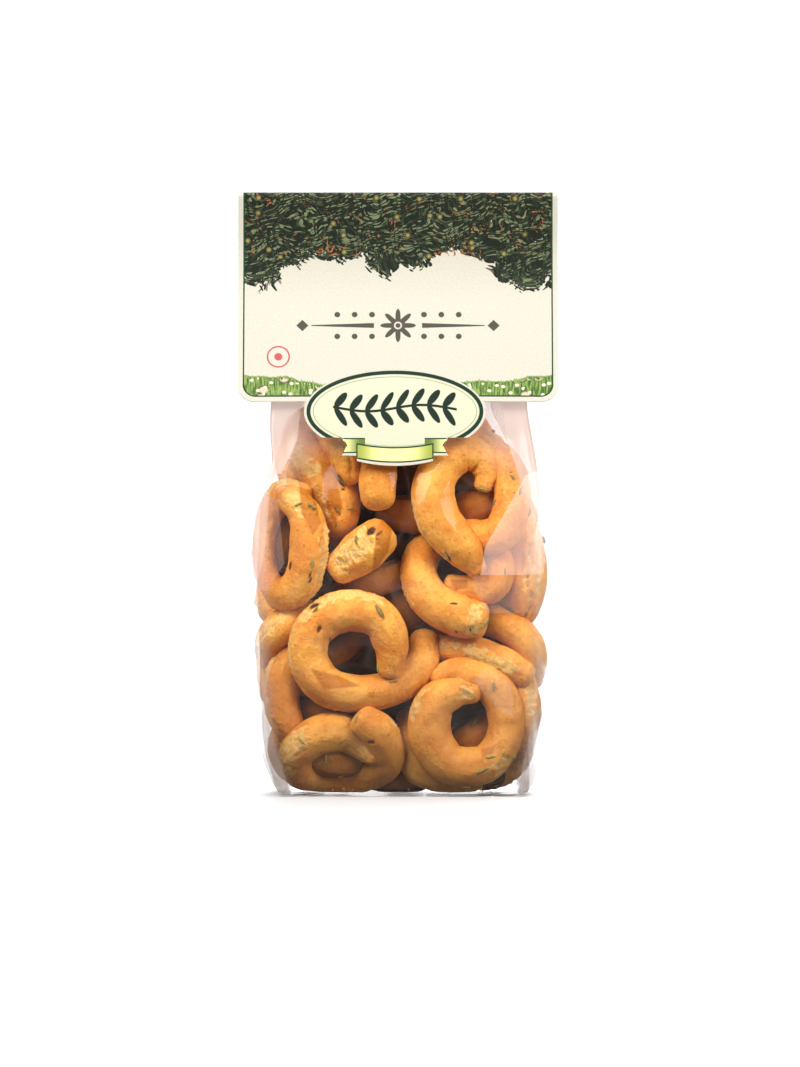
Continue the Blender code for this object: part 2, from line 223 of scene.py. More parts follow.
# Those that show in the gaps between them, further in
gap_taralli = [laid(name, route, rank=GAP) for name, route in (
    ("gap above", [(-4, 114, -4, 6.0), (6, 112, -6, 6.6), (16, 111, -4, 6.2)]),
    ("gap upper middle", [(-3.5, 101, -6, 5.6), (3, 101, -9, 6.6), (12, 99, -7, 6.2)]),
    ("gap middle", [(-8, 85, -6, 5.8), (1, 87.5, -9, 6.4), (9, 92, -4, 6.2)]),
    ("gap below the crust", [(-20, 72, -8, 5.0), (-8, 76.5, -13, 5.4), (3, 80, -9, 5.4), (10, 81, -4, 5.2)]),
    ("gap between rings", [(-3, 73, -6, 5.4), (1.5, 68, -10, 6.2), (5, 60, -7, 5.8)]),
    ("hook hole", [(21, 102, -4, 6.0), (28, 104, -8, 6.6), (36, 104, -6, 6.2), (43, 100, -1, 5.4)]),
    ("left of the crust", [(-38, 98, -4, 5.4), (-30, 96, -8, 5.8), (-24, 90, -8, 5.8)]),
    ("above the lower ring", [(-36, 30, -4, 5.4), (-28, 30, -7, 6.0), (-19, 31, -6, 6.0),
                              (-10, 31, -3, 5.4)]),
    ("lower in the ring hole", [(-27, 45, -4, 5.6), (-15, 46, -6, 6.0), (-4, 51, -4, 6.0)]),
    ("middle right hole", [(8, 80, -3, 6.0), (18, 80, -7, 6.4), (29, 79, -6, 6.0), (38, 76, -2, 5.0)]),
    ("ring hole", [(-30, 49, -8, 5.0), (-22, 50.5, -11, 5.2), (-14, 57.5, -9, 5.8), (-6, 60, -6, 5.4)]),
    ("lower ring hole", [(18, 16, -7, 5.4), (27, 20.5, -11, 6.0), (36, 27, -8, 5.6)]),
    ("along the bottom", [(-20, 7, 0, 5.0), (-8, 6, -6, 4.8), (4, 6, -7, 4.8), (16, 8, 0, 5.2)]),
    ("bottom left", [(-34, 6.5, 2, 4.8), (-27, 5.8, -1, 4.8), (-18, 5.8, 3, 4.8)]),
    ("bottom right", [(12, 5.8, -3, 4.8), (25, 5.6, -8, 4.8), (35, 6.5, -5, 4.8)]),
    ("lower left hole", [(-35, 14, -6, 5.4), (-27, 13, -12, 6.2), (-18, 12.5, -10, 6.0), (-10, 14, -2, 5.4)]),
    ("under the far left", [(-38, 70, 1, 5.0), (-31, 70.5, -2, 5.4), (-23, 70, 1, 5.0)]),
    ("under the upper left", [(-20, 97, -1, 4.8), (-14, 98, -3, 5.4), (-9, 99, -1, 4.8)]),
    ("left ring hole", [(-44, 77, -5, 5.0), (-42.5, 84, -7, 5.6), (-41, 92, -8, 5.6), (-39, 99, -6, 5.4)]),
)]

# Those at the back, and slighter ones in the middle of the bag: across, deep and up, mm, and 1 for the middle
behind_places = [(-33, 22, 20, 0), (3, 23, 19, 0), (36, 21, 22, 0), (-35, 22, 54, 0), (0, 23, 52, 0),
                 (35, 22, 57, 0), (-37, 18, 90, 0), (1, 22, 86, 0), (35, 20, 91, 0), (-21, 16, 119, 0),
                 (20, 16, 120, 0), (-26, 5, 34, 1), (20, 5, 33, 1), (-3, 5, 67, 1), (27, 6, 72, 1),
                 (-27, 6, 82, 1), (4, 6, 102, 1)]
draw = random.Random(7)
behind_taralli = []
for number, (across, deep, up, in_middle) in enumerate(behind_places):
    lean, slight = (34, 0.8) if in_middle else (25, 1.0)
    tilt = (180 + draw.uniform(-lean, lean), draw.uniform(-lean, lean), draw.uniform(-180, 180))
    size = (draw.uniform(10.6, 12.8) * slight, draw.uniform(11.6, 13.8) * slight)
    behind_taralli.append(ring(
        f"behind {number}", (across, deep, up), size, draw.uniform(0, 360), draw.uniform(380, 415), tilt,
        (draw.uniform(-2.5, 0), draw.uniform(1, 4)), (3.5, -3.5), draw.uniform(6.0, 6.7) * slight,
        seam=(draw.uniform(-10, 40), draw.uniform(0.9, 1.4), draw.uniform(0.3, 0.9)),
        torn=[(0.12, 0.2 + draw.uniform(0.05, 0.2), 25, 2.6),
              (0.6, 0.65 + draw.uniform(0.05, 0.2), 15, 1.8)]))


def settle(taralli, skin, rounds):
    """Lets the ropes push each other and the film apart, a little each round, until they only touch."""
    radius = np.concatenate([t.bead_radius for t in taralli])
    owner = np.arange(len(taralli)).repeat(BEADS)
    reach = radius[:, None] + radius[None, :]
    rank = np.array([t.rank for t in taralli]).repeat(BEADS)
    pushed = (owner[:, None] != owner[None, :]) & (rank[:, None] >= rank[None, :])
    loose = rank == LOOSE
    for number in range(rounds):
        beads = np.concatenate([t.placed(t.beads) for t in taralli])
        squares = (beads**2).sum(axis=1)
        distance = np.sqrt(np.maximum(squares[:, None] + squares[None, :] - 2 * beads @ beads.T, 1e-12))
        weight = np.where(pushed, np.maximum(reach - distance, 0), 0) / distance * YIELD
        weight *= number < rounds - LAST
        push = beads * weight.sum(axis=1)[:, None] - weight @ beads
        push[:, 1] += np.maximum(CURTAIN - beads[:, 1], 0) * loose * 0.5
        push[:, 2] += np.maximum(radius + BOTTOM - beads[:, 2], 0) * 2
        push[:, 2] -= np.maximum(radius + beads[:, 2] - CEILING, 0) * loose
        for i, bead in enumerate(beads):
            near, normal, _, _ = skin.find_nearest(bead)
            lack = radius[i] + FILM_GAP - (near - Vector(bead)).dot(normal)
            if lack > 0:
                push[i] -= np.array(normal) * lack * (2.0 if loose[i] else 1)
        for k, tarallo in enumerate(taralli):
            own = slice(k * BEADS, (k + 1) * BEADS)
            move(tarallo, beads[own], push[own])


def move(tarallo, beads, push):
    """Moves one rope, stiffly, as its beads are pushed. Only a loose one gives way in more than depth."""
    shift = push.mean(axis=0) + push[np.argmax((push**2).sum(axis=1))] * HARDEST
    if tarallo.rank < LOOSE:
        step = np.clip(shift[1] + (tarallo.anchor[1] - tarallo.place[1]) * HELD, -BUDGE, BUDGE)
        tarallo.place[1] = max(tarallo.place[1] + step, tarallo.anchor[1] - FORWARD)
        return
    wanted = beads + push
    middle, aim = beads.mean(axis=0), wanted.mean(axis=0)
    u, _, v = np.linalg.svd((beads - middle).T @ (wanted - aim))
    flip = np.diag([1, 1, np.sign(np.linalg.det(u @ v))])
    turn = (u @ flip @ v).T
    tarallo.turn = turn @ tarallo.turn
    tarallo.place = turn @ (tarallo.place - middle) + middle + shift - np.array((0, 0, SINK))


bag_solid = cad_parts["bag"]
skin = BVHTree.FromObject(bag_solid, bpy.context.evaluated_depsgraph_get())
settle(front_taralli + gap_taralli + behind_taralli, skin, ROUNDS)

# Where the film clings to oily dough at the front, painted darker: wet dough, and painted shade where the
# film has no glare. Corners (across, up), mm
OILED_AND_SHADE = [
    [(-32.1, 46.9), (-20.8, 43.9), (-11.5, 39.5), (-26.8, 38.3)],
    [(-18.8, 51.9), (-8.8, 50.9), (-6.4, 45.0), (-9.0, 44.0)],
    [(29.0, 17.5), (35.5, 19.0), (34.5, 15.5), (30.0, 13.5)],
    [(-31.7, 1.0), (-24.0, 6.0), (-18.7, 7.2), (-9.4, 5.4), (-11.0, 1.0)],
    [(18.0, 78.2), (25.4, 78.2), (25.4, 74.5), (20.0, 73.4)],
    [(-28.5, 121.0), (-22.5, 120.0), (-19.5, 104.0), (-22.5, 97.0), (-26.0, 103.0)],
    [(-8.0, 97.5), (-5.0, 101.0), (-1.0, 99.0), (-3.0, 88.0), (-10.0, 78.0), (-9.5, 84.0)],
    [(-36.0, 112.0), (-30.0, 110.0), (-27.0, 98.0), (-30.5, 93.0), (-35.0, 102.0)],
]

# Deep slits and pits in the front ones, painted dark inside as painted shade, mm: across, up, half-length,
# half-width, turned (degrees), how deep
PITS = [
    (-20.6, 113.4, 3.2, 0.9, -62, 1.6), (-19.8, 110.2, 0.8, 0.7, 0, 0.8), (-21.8, 102.4, 2.2, 0.9, -62, 1.2),
    (-9.6, 95.4, 2.2, 1.3, 40, 1.2), (-29.9, 68.6, 2.4, 0.7, 25, 1.2), (-31.4, 78.6, 2.6, 0.5, 84, 0.9),
    (-28.2, 60.4, 1.6, 0.8, 60, 0.8), (20.9, 59.2, 0.8, 0.5, -20, 0.9), (26.0, 60.0, 0.6, 0.6, 0, 0.8),
    (17.9, 86.2, 2.2, 0.5, -55, 0.8), (-9.6, 19.8, 1.6, 0.7, 0, 1.0), (-38.6, 83.0, 1.8, 0.5, 80, 0.6),
]
STATION, SIDES = 0.60, 56  # between two rings of faces along a front rope, mm, and the faces round it
COARSER = 1.5  # how much larger the faces are in the gaps and behind
FRONT_TOP = 0.062  # the front ones are two pieces: those whose middle is below this, and those above
CAP, CAP_FULL = 0.07, 0.72  # the share of a ball that makes each end of its rope, and how full the end is
# Painted shade: the dough is painted darker the further in from the film it lies, standing for the shade deep
# in the bag
SHADE_DEEPEST = 0.025  # in from the film: the dough gets darker up to here
SHOWN = -0.027  # where the front's film is
FRONT_LESS_SHADE, GAP_MORE_SHADE = 0.6, 0.004  # less of that depth counts at the front, and more in its gaps


def roll_out(shape, tarallo, coarser):
    """Rolls a ball of dough out along its rope: its rings become stations, and its poles the two ends."""
    ball = bmesh.new()
    rings = int(tarallo.length / MM / (STATION * coarser)) + 24
    bmesh.ops.create_uvsphere(ball, u_segments=int(SIDES / coarser), v_segments=rings, radius=1.0)
    unit = np.array([v.co for v in ball.verts])
    down = np.arccos(np.clip(unit[:, 2], -1, 1)) / math.pi
    angle = np.arctan2(unit[:, 1], unit[:, 0])
    along, girth = stations(down, tarallo)
    points, crumb = skin_of(tarallo, along, angle, girth)
    placed = tarallo.placed(points)
    placed[:, 2] = np.maximum(placed[:, 2], BOTTOM)
    pit = press_pits(placed) if tarallo.rank == FRONT else np.zeros(len(placed))
    layers = ball.verts.layers.float
    crumb_layer, pit_shade_layer, shade_depth_layer = layers.new("crumb"), layers.new("pit"), layers.new("deep")
    for vert, point, pale, pressed in zip(ball.verts, placed, crumb, pit):
        vert.co = point
        vert[crumb_layer] = pale
        vert[pit_shade_layer] = pressed
        # How far in from the film each point lies, for the painted shade deep in the bag
        inwards = skin.find_nearest(point)[3] * (FRONT_LESS_SHADE if tarallo.rank == FRONT else 1.0)
        if tarallo.rank == GAP:
            inwards = max(inwards, point[1] - SHOWN + GAP_MORE_SHADE)
        vert[shade_depth_layer] = inwards / SHADE_DEEPEST
    for face in ball.faces:
        face.smooth = True
    bmesh.ops.recalc_face_normals(ball, faces=ball.faces)
    mesh = bpy.data.meshes.new("rolled")
    ball.to_mesh(mesh)
    ball.free()
    shape.from_mesh(mesh)
    bpy.data.meshes.remove(mesh)


def hash_of(text):
    """A number that goes with a name, the same in every run."""
    return sum(ord(letter) * 31**i for i, letter in enumerate(text)) % 1000003


def stations(down, tarallo):
    """How far along the rope a ring of the ball lies, and the share of the girth that it has there."""
    first, last = (np.clip(share / CAP, 0, 1) * math.pi / 2 for share in (down, 1 - down))
    middle = np.clip((down - CAP) / (1 - 2 * CAP), 0, 1)
    head, tail = tarallo.girth[0] * tarallo.blunt[0], tarallo.girth[-1] * tarallo.blunt[1]
    along = middle * tarallo.length - head * np.cos(first) + tail * np.cos(last)
    return along, np.sin(first) ** CAP_FULL * np.sin(last) ** CAP_FULL


def frames(path):
    """Directions along a path, and forwards from it, carried from step to step without twist."""
    ahead = np.gradient(path, axis=0)
    ahead /= np.linalg.norm(ahead, axis=1)[:, None]
    front = np.zeros_like(ahead)
    last = np.array((0, 0, 1.0)) if abs(ahead[0, 2]) < 0.9 else np.array((0, 1.0, 0))
    for i, direction in enumerate(ahead):
        last = last - direction * last.dot(direction)
        last /= np.linalg.norm(last)
        front[i] = last
    return ahead, front


def spine(tarallo, along):
    """At these lengths: the rope's middle, the ways outwards and forwards from it, and its radius in mm."""
    at = np.clip(along / tarallo.length * (PATH_STEPS - 1), 0, PATH_STEPS - 1.001)
    low = at.astype(int)
    part = (at - low)[:, None]
    all_ahead, all_front = frames(tarallo.path)
    middle = tarallo.path[low] * (1 - part) + tarallo.path[low + 1] * part
    ahead = all_ahead[low] * (1 - part) + all_ahead[low + 1] * part
    ahead /= np.linalg.norm(ahead, axis=1)[:, None]
    over = np.clip(along - tarallo.length, 0, None) + np.clip(along, None, 0)
    middle = middle + ahead * over[:, None]
    front = all_front[low] * (1 - part) + all_front[low + 1] * part
    front -= ahead * (front * ahead).sum(axis=1)[:, None]
    front /= np.linalg.norm(front, axis=1)[:, None]
    outward = np.cross(ahead, front) * tarallo.side
    thick = (tarallo.girth[low] * (1 - part[:, 0]) + tarallo.girth[low + 1] * part[:, 0]) / MM
    return middle, outward, front, thick


def half_turn(angle):
    """An angle brought to between minus half a turn and half a turn."""
    return (angle + math.pi) % (2 * math.pi) - math.pi


def skin_of(tarallo, along, angle, girth):
    """Points of the rope's skin in its own frame, with lumps and the burst seam, and the crumb that shows."""
    middle, outward, front, thick = spine(tarallo, along)
    seed = hash_of(tarallo.name) % 1000

    # The seam: a groove that wanders, bursts open here and there, and has a swollen lip on each side
    seam_at, seam_wide, seam_deep = tarallo.seam
    wander = 0.16 * np.sin(along * 260 + seed) + 0.1 * np.sin(along * 610 + seed * 2)
    off_seam = half_turn(angle - math.radians(seam_at) - wander) * thick
    burst = 0.5 + 0.5 * np.sin(along * 95 + seed * 3) + 0.25 * np.sin(along * 310 + seed)
    burst = np.clip(burst, 0.06, 1.1) * seam_deep
    groove = np.exp(-(off_seam / (0.7 * seam_wide)) ** 2)
    lips = np.exp(-((np.abs(off_seam) - 2.2 * seam_wide) / (1.4 * seam_wide)) ** 2)
    swell = burst * (0.6 * lips - 1.3 * groove)

    # Where the dough is pale: in the seam, in the torn patches and at both ends
    pale = np.exp(-(off_seam / (2.0 * seam_wide)) ** 2) * np.clip(burst, 0, 1) * 0.8
    share = along / tarallo.length
    for start, end, turned, half_wide in tarallo.torn:
        off_patch = half_turn(angle - math.radians(turned)) * thick
        within = ease((share - start) / 0.03 + 0.5) * ease((end - share) / 0.03 + 0.5)
        pale = np.maximum(pale, within * np.exp(-(off_patch / half_wide) ** 4))
    pale = np.maximum(pale, np.clip(1 - (girth - 0.3) / 0.55, 0, 1) * 0.8)

    # Broad lumps and fine creases all over, and grit with ragged edges where it is pale
    along_mm = along * 1000
    spots = np.stack([along_mm, angle * thick, np.full(len(along), seed)], axis=1)
    broad = np.array([noise.noise(Vector(spot) * 0.13) for spot in spots])
    waves = np.array([noise.noise(Vector((np.cos(a) * 2.2, np.sin(a) * 2.2, s * 0.20 + seed)))
                      for a, s in zip(angle, along_mm)])
    grit, ragged = np.zeros(len(along)), np.zeros(len(along))
    for i in np.nonzero(pale > 0.05)[0]:
        spot = Vector((np.cos(angle[i]) * 7, np.sin(angle[i]) * 7, along_mm[i]))
        ragged[i] = noise.noise(spot * 0.55)
        grit[i] = noise.noise(spot * 1.1) * 0.6 + noise.noise(spot * 2.3) * 0.45
    crumb = np.clip((pale + ragged * 0.9 + grit * 0.45 - 0.42) * 2.2, 0, 1)
    crease = np.clip(1 - np.abs(waves) / 0.06, 0, 1) ** 2 * np.clip(broad * 3, 0, 1) * 0.22
    torn_edge = crumb * (1 - crumb) * 4
    relief = grit * crumb * 1.4 + torn_edge * 0.2 - crumb * 0.22
    radius = (thick + swell + waves * 0.34 - crease + relief) * MM * girth
    flat = 1 - 0.05 * np.sin(along * 120 + seed)
    turn = (np.cos(angle) * radius)[:, None] * outward + (np.sin(angle) * radius * flat)[:, None] * front
    return middle + turn, crumb


def press_pits(points):
    """Presses the pits into the points of a front rope, and gives how deep in a pit each one is, 0 to 1."""
    inside = np.zeros(len(points))
    front = points[:, 1] < points[:, 1].min() + 0.014
    for across, up, long, wide, turned, deep in PITS:
        x, z = points[:, 0] / MM - across, points[:, 2] / MM - up
        cos, sin = math.cos(math.radians(turned)), math.sin(math.radians(turned))
        reach = ((x * cos + z * sin) / long) ** 2 + ((z * cos - x * sin) / wide) ** 2
        here = np.exp(-(reach**2)) * front
        points[:, 1] += here * deep * MM
        inside = np.maximum(inside, here)
    return inside


def new_piece(name, shape, finish):
    """Makes a piece of the object from a bmesh, with its one material."""
    mesh = bpy.data.meshes.new(name)
    shape.to_mesh(mesh)
    shape.free()
    mesh.materials.append(finish)
    piece = bpy.data.objects.new(name, mesh)
    bpy.context.scene.collection.objects.link(piece)
    return piece


class Value:
    """A socket of a material's nodes: arithmetic on it adds Math nodes."""

    def __init__(self, tree, socket):
        self.tree, self.socket = tree, socket

    def math(self, operation, *others):
        node = self.tree.nodes.new("ShaderNodeMath")
        node.operation = operation
        for socket, value in zip(node.inputs, (self, *others)):
            plug(self.tree, socket, value)
        return Value(self.tree, node.outputs[0])

    def __add__(self, other):
        return self.math("ADD", other)

    def __sub__(self, other):
        return self.math("SUBTRACT", other)

    def __rsub__(self, other):
        return (self * -1.0) + other

    def __mul__(self, other):
        return self.math("MULTIPLY", other)

    def __truediv__(self, other):
        return self.math("DIVIDE", other)

    def __abs__(self):
        return self.math("ABSOLUTE")

    def __pow__(self, other):
        return self * self if other == 2.0 else self.math("POWER", other)

    __radd__, __rmul__ = __add__, __mul__

    def low(self, other):
        return self.math("MINIMUM", other)

    def high(self, other):
        return self.math("MAXIMUM", other)

    def step(self, low, high):
        """0 below low and 1 above high, smooth between; falling where low is the larger."""
        node = self.tree.nodes.new("ShaderNodeMapRange")
        node.interpolation_type = "SMOOTHSTEP"
        falls = float(low > high)
        for socket, value in zip(node.inputs, (self, min(low, high), max(low, high), falls, 1.0 - falls)):
            plug(self.tree, socket, value)
        return Value(self.tree, node.outputs[0])

    def within(self, reach, soft=0.1):
        """1 where the value is this near to 0, on either side, and 0 beyond, with an edge this soft."""
        return abs(self).step(reach, reach - soft)


def plug(tree, socket, value):
    """Links a value's socket into this one, or sets this one to a plain number, vector or colour."""
    if isinstance(value, Value):
        tree.links.new(value.socket, socket)
    else:
        socket.default_value = value


class Finish:
    """A material whose nodes are added one call at a time."""

    def __init__(self, name, fixed=None):
        self.material = bpy.data.materials.new(name)
        self.material.use_nodes = True
        self.tree = self.material.node_tree
        self.shader = self.tree.nodes["Principled BSDF"]
        for socket, value in (fixed or {}).items():
            self.set(socket, value)

    def set(self, socket, value):
        plug(self.tree, self.shader.inputs[socket], value)

    def node(self, kind, sockets=None, out=0, **settings):
        """Adds a node with these settings and sockets, and gives its output."""
        node = self.tree.nodes.new("ShaderNode" + kind)
        for setting, value in settings.items():
            setattr(node, setting, value)
        for key, value in (sockets or {}).items():
            plug(self.tree, node.inputs[key], value)
        return Value(self.tree, node.outputs[out])

    def mix(self, share, first, second):
        """A colour between two, by a share from 0 to 1."""
        node = self.tree.nodes.new("ShaderNodeMix")
        node.data_type = "RGBA"
        for index, value in ((0, share), (6, first), (7, second)):
            plug(self.tree, node.inputs[index], value)
        return Value(self.tree, node.outputs[2])

    def place(self):
        """Where on the object a point is, in metres."""
        return self.node("TexCoord", out=3)

    def own(self, name):
        """The number of this name that the piece's mesh carries at each point."""
        return self.node("Attribute", attribute_name=name, out=2)

    def axes(self, where):
        """The three numbers of a place."""
        split = self.node("SeparateXYZ", {"Vector": where}).socket.node
        return [Value(self.tree, socket) for socket in split.outputs]

    def stretch(self, where, sizes):
        return self.node("VectorMath", {0: where, 1: sizes}, operation="MULTIPLY")

    def ellipse(self, x, y, wide, tall):
        """Distance outside an ellipse's edge, in the units of x and y; negative inside."""
        reach = ((x / wide) ** 2.0 + (y / tall) ** 2.0) ** 0.5
        slope = ((x / wide**2) ** 2.0 + (y / tall**2) ** 2.0) ** 0.5
        return reach * (reach - 1.0) / slope.high(1e-4)

    def grain(self, where, scale, detail=3.0, roughness=0.5):
        sockets = {"Vector": where, "Scale": scale, "Detail": detail, "Roughness": roughness}
        return self.node("TexNoise", sockets)

    def bump(self, height, distance, strength=1.0):
        self.set("Normal", self.node("Bump", {"Height": height, "Distance": distance, "Strength": strength}))


def paint(red, green, blue):
    """A colour as a designer names it, 0 to 255, as the linear light that a shader takes."""
    channels = [c / 255 for c in (red, green, blue)]
    return (*(c / 12.92 if c <= 0.04045 else ((c + 0.055) / 1.055) ** 2.4 for c in channels), 1.0)


def facet(x, z, corners, soft=0.4):
    """1 inside a convex shape whose corners go clockwise, and 0 outside; corners and soft edge are in mm."""
    inside = None
    for (x0, z0), (x1, z1) in zip(corners, corners[1:] + corners[:1]):
        run = math.hypot(x1 - x0, z1 - z0)
        nx, nz = (z1 - z0) / run, (x0 - x1) / run
        within = x * nx + z * nz - (x0 * nx + z0 * nz) * MM
        inside = within if inside is None else inside.low(within)
    return inside.step(0.0, soft * MM)


def baked_dough():
    """Golden satin crust with fine pores, and pale open crumb where it has burst; with painted shade and
    highlight.
    """
    finish = Finish("baked_dough", {"Specular IOR Level": 0.28})
    place = finish.place()
    x, y, up = finish.axes(place)
    crumb, pit, deep = (finish.own(name) for name in ("crumb", "pit", "deep"))
    cloud, patch = finish.grain(place, 70.0, 3.0, 0.55), finish.grain(place, 210.0, 3.0, 0.6)
    fine, crumbs = finish.grain(place, 900.0, 4.0, 0.65), finish.grain(place, 1500.0, 3.0, 0.7)
    oiled_and_shade = [facet(x, up, corners, 0.9) for corners in OILED_AND_SHADE]
    wet_and_shade = sum(oiled_and_shade[1:], oiled_and_shade[0]) * y.step(-0.012, -0.016)
    # Painted shade: the dough is painted brown, then dark, the further in from the film it lies
    painted_shade, dark = deep.step(0.30, 0.52), deep.step(0.58, 0.92)
    pores = finish.node("TexVoronoi", {"Vector": place, "Scale": 520.0})
    pores = pores.step(0.16, 0.06) * patch.step(0.5, 0.62) * (1.0 - crumb)
    colour = finish.mix(cloud.step(0.36, 0.64), paint(226, 140, 47), paint(247, 175, 73))
    for share, over in (
        (patch.step(0.52, 0.72) * 0.5, paint(212, 124, 34)),
        (fine.step(0.52, 0.70) * 0.55, paint(198, 110, 34)),
        (fine.step(0.46, 0.30) * 0.4, paint(252, 200, 104)),
        (crumb.step(0.1, 0.9) * 0.85, paint(252, 202, 114)),
        (crumb.step(0.2, 0.8) * crumbs.step(0.54, 0.68) * 0.4, paint(222, 150, 62)),
        # The palest crumb specks: pale crumb, partly a painted highlight on its ragged edges
        (crumb.step(0.3, 0.9) * crumbs.step(0.46, 0.34) * 0.8, paint(255, 230, 176)),
        # Painted shade inside the pits and slits
        (pit.step(0.15, 0.8), paint(84, 42, 18)),
        # Where the film clings: wet dough, painted darker as shade where the film has no glare
        (wet_and_shade * 0.9, paint(190, 110, 4)),
        # Painted shade: darker towards the bottom, where less light reaches
        (up.step(0.072, -0.006) * 0.52, paint(118, 66, 34)),
        # Painted shade deep in the bag
        (painted_shade * 0.78, paint(140, 76, 22)),
        (dark * 0.9, paint(46, 26, 15)),
        (pores * 0.75, paint(150, 84, 24)),
    ):
        colour = finish.mix(share, colour, over)
    finish.set("Base Color", colour)
    finish.set("Roughness", 0.52 + crumb * 0.3 + fine * 0.12 + painted_shade * 0.2 - wet_and_shade * 0.22)
    finish.bump(fine * 0.7 + patch * 1.0 + crumb * crumbs * 0.9 - pores * 1.4, 0.0006)
    return finish.material


def dough_piece(name, taralli, coarser, finish):
    shape = bmesh.new()
    for tarallo in taralli:
        roll_out(shape, tarallo, coarser)
    piece = new_piece(name, shape, finish)
    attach(piece, "root")
    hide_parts("bag")
    return piece


dough_finish = baked_dough()
low_taralli = [t for t in front_taralli if t.anchor[2] < FRONT_TOP]
high_taralli = [t for t in front_taralli if t.anchor[2] >= FRONT_TOP]
dough_pieces = [
    dough_piece("taralli_front_low", low_taralli, 1.0, dough_finish),
    dough_piece("taralli_front_high", high_taralli, 1.0, dough_finish),
    dough_piece("taralli_in_gaps", gap_taralli, COARSER, dough_finish),
    dough_piece("taralli_behind", behind_taralli, COARSER, dough_finish),
]


# The seeds
# Fennel seeds are kneaded into the dough, and some stand half out of it: slim, ridged, straw to brown. A few
# dry crumbs lie on the bottom of the bag.
SEED_LONG, SEED_WIDE = 2.3, 0.75  # half-sizes, mm
SEED_OUT, SEED_SUNK = 0.0001, 0.0006  # how far seeds stand out of the skin, or are sunk in it at most
SEED_LOWEST = 0.0024  # no seed lies below this, in the film
# Those that show at the front: across and up, mm, how turned (degrees), and the share of full size
SEEDS = [(30.2, 110.4, 4, 1.0), (-6.5, 66.9, -60, 1.25), (-7.0, 46.2, 70, 0.8), (-31.0, 104.4, -48, 1.0),
         (-35.6, 105.0, 20, 0.7), (-34.6, 20.6, -30, 0.8), (30.2, 9.6, 25, 1.1), (-17.0, 103.2, 0, 0.6),
         (31.2, 62.4, 50, 1.0), (-30.6, 84.0, 84, 0.9), (-19.8, 113.0, -60, 0.9), (-21.2, 102.6, -60, 0.8),
         (38.4, 80.6, 80, 0.6), (-1.6, 41.4, 10, 0.7), (41.0, 114.6, -50, 0.6), (43.9, 109.6, 80, 0.7),
         (17.2, 86.6, -55, 0.8), (-29.6, 67.2, 20, 0.8), (-20.2, 7.2, 0, 0.9), (33.0, 14.4, 10, 0.9)]
MORE_SEEDS, CRUMBS = 104, 44  # seeds here and there on all the dough, and crumbs
CRUMB_REACH = (37, 19)  # across and deep, mm


def seed_shape(shape, size, place, along, up, tone):
    """A slim ridged seed, its long side along one direction, half sunk into what it lies on."""
    along = (along - up * along.dot(up)).normalized()
    turn = Matrix((along, up.cross(along), up)).transposed().to_4x4()
    scale = Matrix.Diagonal((size * SEED_LONG, size * SEED_WIDE, size * SEED_WIDE, 1))
    turn = Matrix.Translation(place) @ turn @ scale
    layer = shape.verts.layers.float["tone"]
    for vert in bmesh.ops.create_uvsphere(shape, u_segments=10, v_segments=6, radius=MM)["verts"]:
        ridge = 0.80 if round(math.atan2(vert.co.y, vert.co.x) / (math.pi / 5)) % 2 else 1.0
        vert.co = turn @ Vector((vert.co.z, vert.co.x * ridge, vert.co.y * ridge))
        vert[layer] = tone


def seed_skin():
    """Dull skin, brown to straw from seed to seed."""
    finish = Finish("seed_skin", {"Roughness": 0.65, "Specular IOR Level": 0.3})
    place = finish.place()
    skin_tone = finish.mix(finish.own("tone"), paint(92, 74, 28), paint(176, 158, 82))
    specks = finish.grain(place, 900.0).step(0.4, 0.7) * 0.5
    finish.set("Base Color", finish.mix(specks, skin_tone, paint(70, 52, 22)))
    finish.bump(finish.grain(place, 1400.0), 0.0002)
    return finish.material


def crumb_skin():
    """Dry, rough crust and crumb."""
    finish = Finish("crumb_skin", {"Roughness": 0.8})
    place = finish.place()
    toasted = finish.grain(place, 700.0).step(0.4, 0.6)
    finish.set("Base Color", finish.mix(toasted, paint(164, 100, 44), paint(206, 146, 78)))
    finish.bump(finish.grain(place, 1800.0), 0.0004)
    return finish.material


graph = bpy.context.evaluated_depsgraph_get()
dough_trees = [BVHTree.FromObject(piece, graph) for piece in dough_pieces]
seed_mesh = bmesh.new()
seed_mesh.verts.layers.float.new("tone")
draw = random.Random(11)
for across, up, turned, size in SEEDS:
    hits = [tree.ray_cast(Vector((across * MM, -0.05, up * MM)), Vector((0, 1, 0))) for tree in dough_trees]
    hits = [hit for hit in hits if hit[0]]
    if hits:
        place, normal = min(hits, key=lambda hit: hit[3])[:2]
        angle = math.radians(turned)
        along = Vector((math.cos(angle), 0, math.sin(angle)))
        seed_shape(seed_mesh, size, place + normal * SEED_OUT, along, normal, draw.uniform(0.2, 1.0))
for _ in range(MORE_SEEDS):
    piece = draw.choice(dough_pieces)
    face = piece.data.polygons[draw.randrange(len(piece.data.polygons))]
    along = Vector((draw.gauss(0, 1), draw.gauss(0, 1), draw.gauss(0, 1)))
    place = face.center - face.normal * draw.uniform(0.0001, SEED_SUNK)
    place.z = max(place.z, SEED_LOWEST)
    seed_shape(seed_mesh, draw.uniform(0.5, 0.95), place, along, face.normal, draw.random())
crumb_mesh = bmesh.new()
for _ in range(CRUMBS):
    across, deep = (draw.uniform(-reach, reach) for reach in CRUMB_REACH)
    place = Vector((across, deep, draw.uniform(1.6, 2.4))) * MM
    made = bmesh.ops.create_icosphere(crumb_mesh, subdivisions=1, radius=draw.uniform(0.2, 0.5) * MM)["verts"]
    for vert in made:
        vert.co = place + vert.co * draw.uniform(0.7, 1.3)
for name, shape, finish in (("seeds", seed_mesh, seed_skin()), ("crumbs", crumb_mesh, crumb_skin())):
    piece = new_piece(name, shape, finish)
    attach(piece, "root")
    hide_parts("bag")


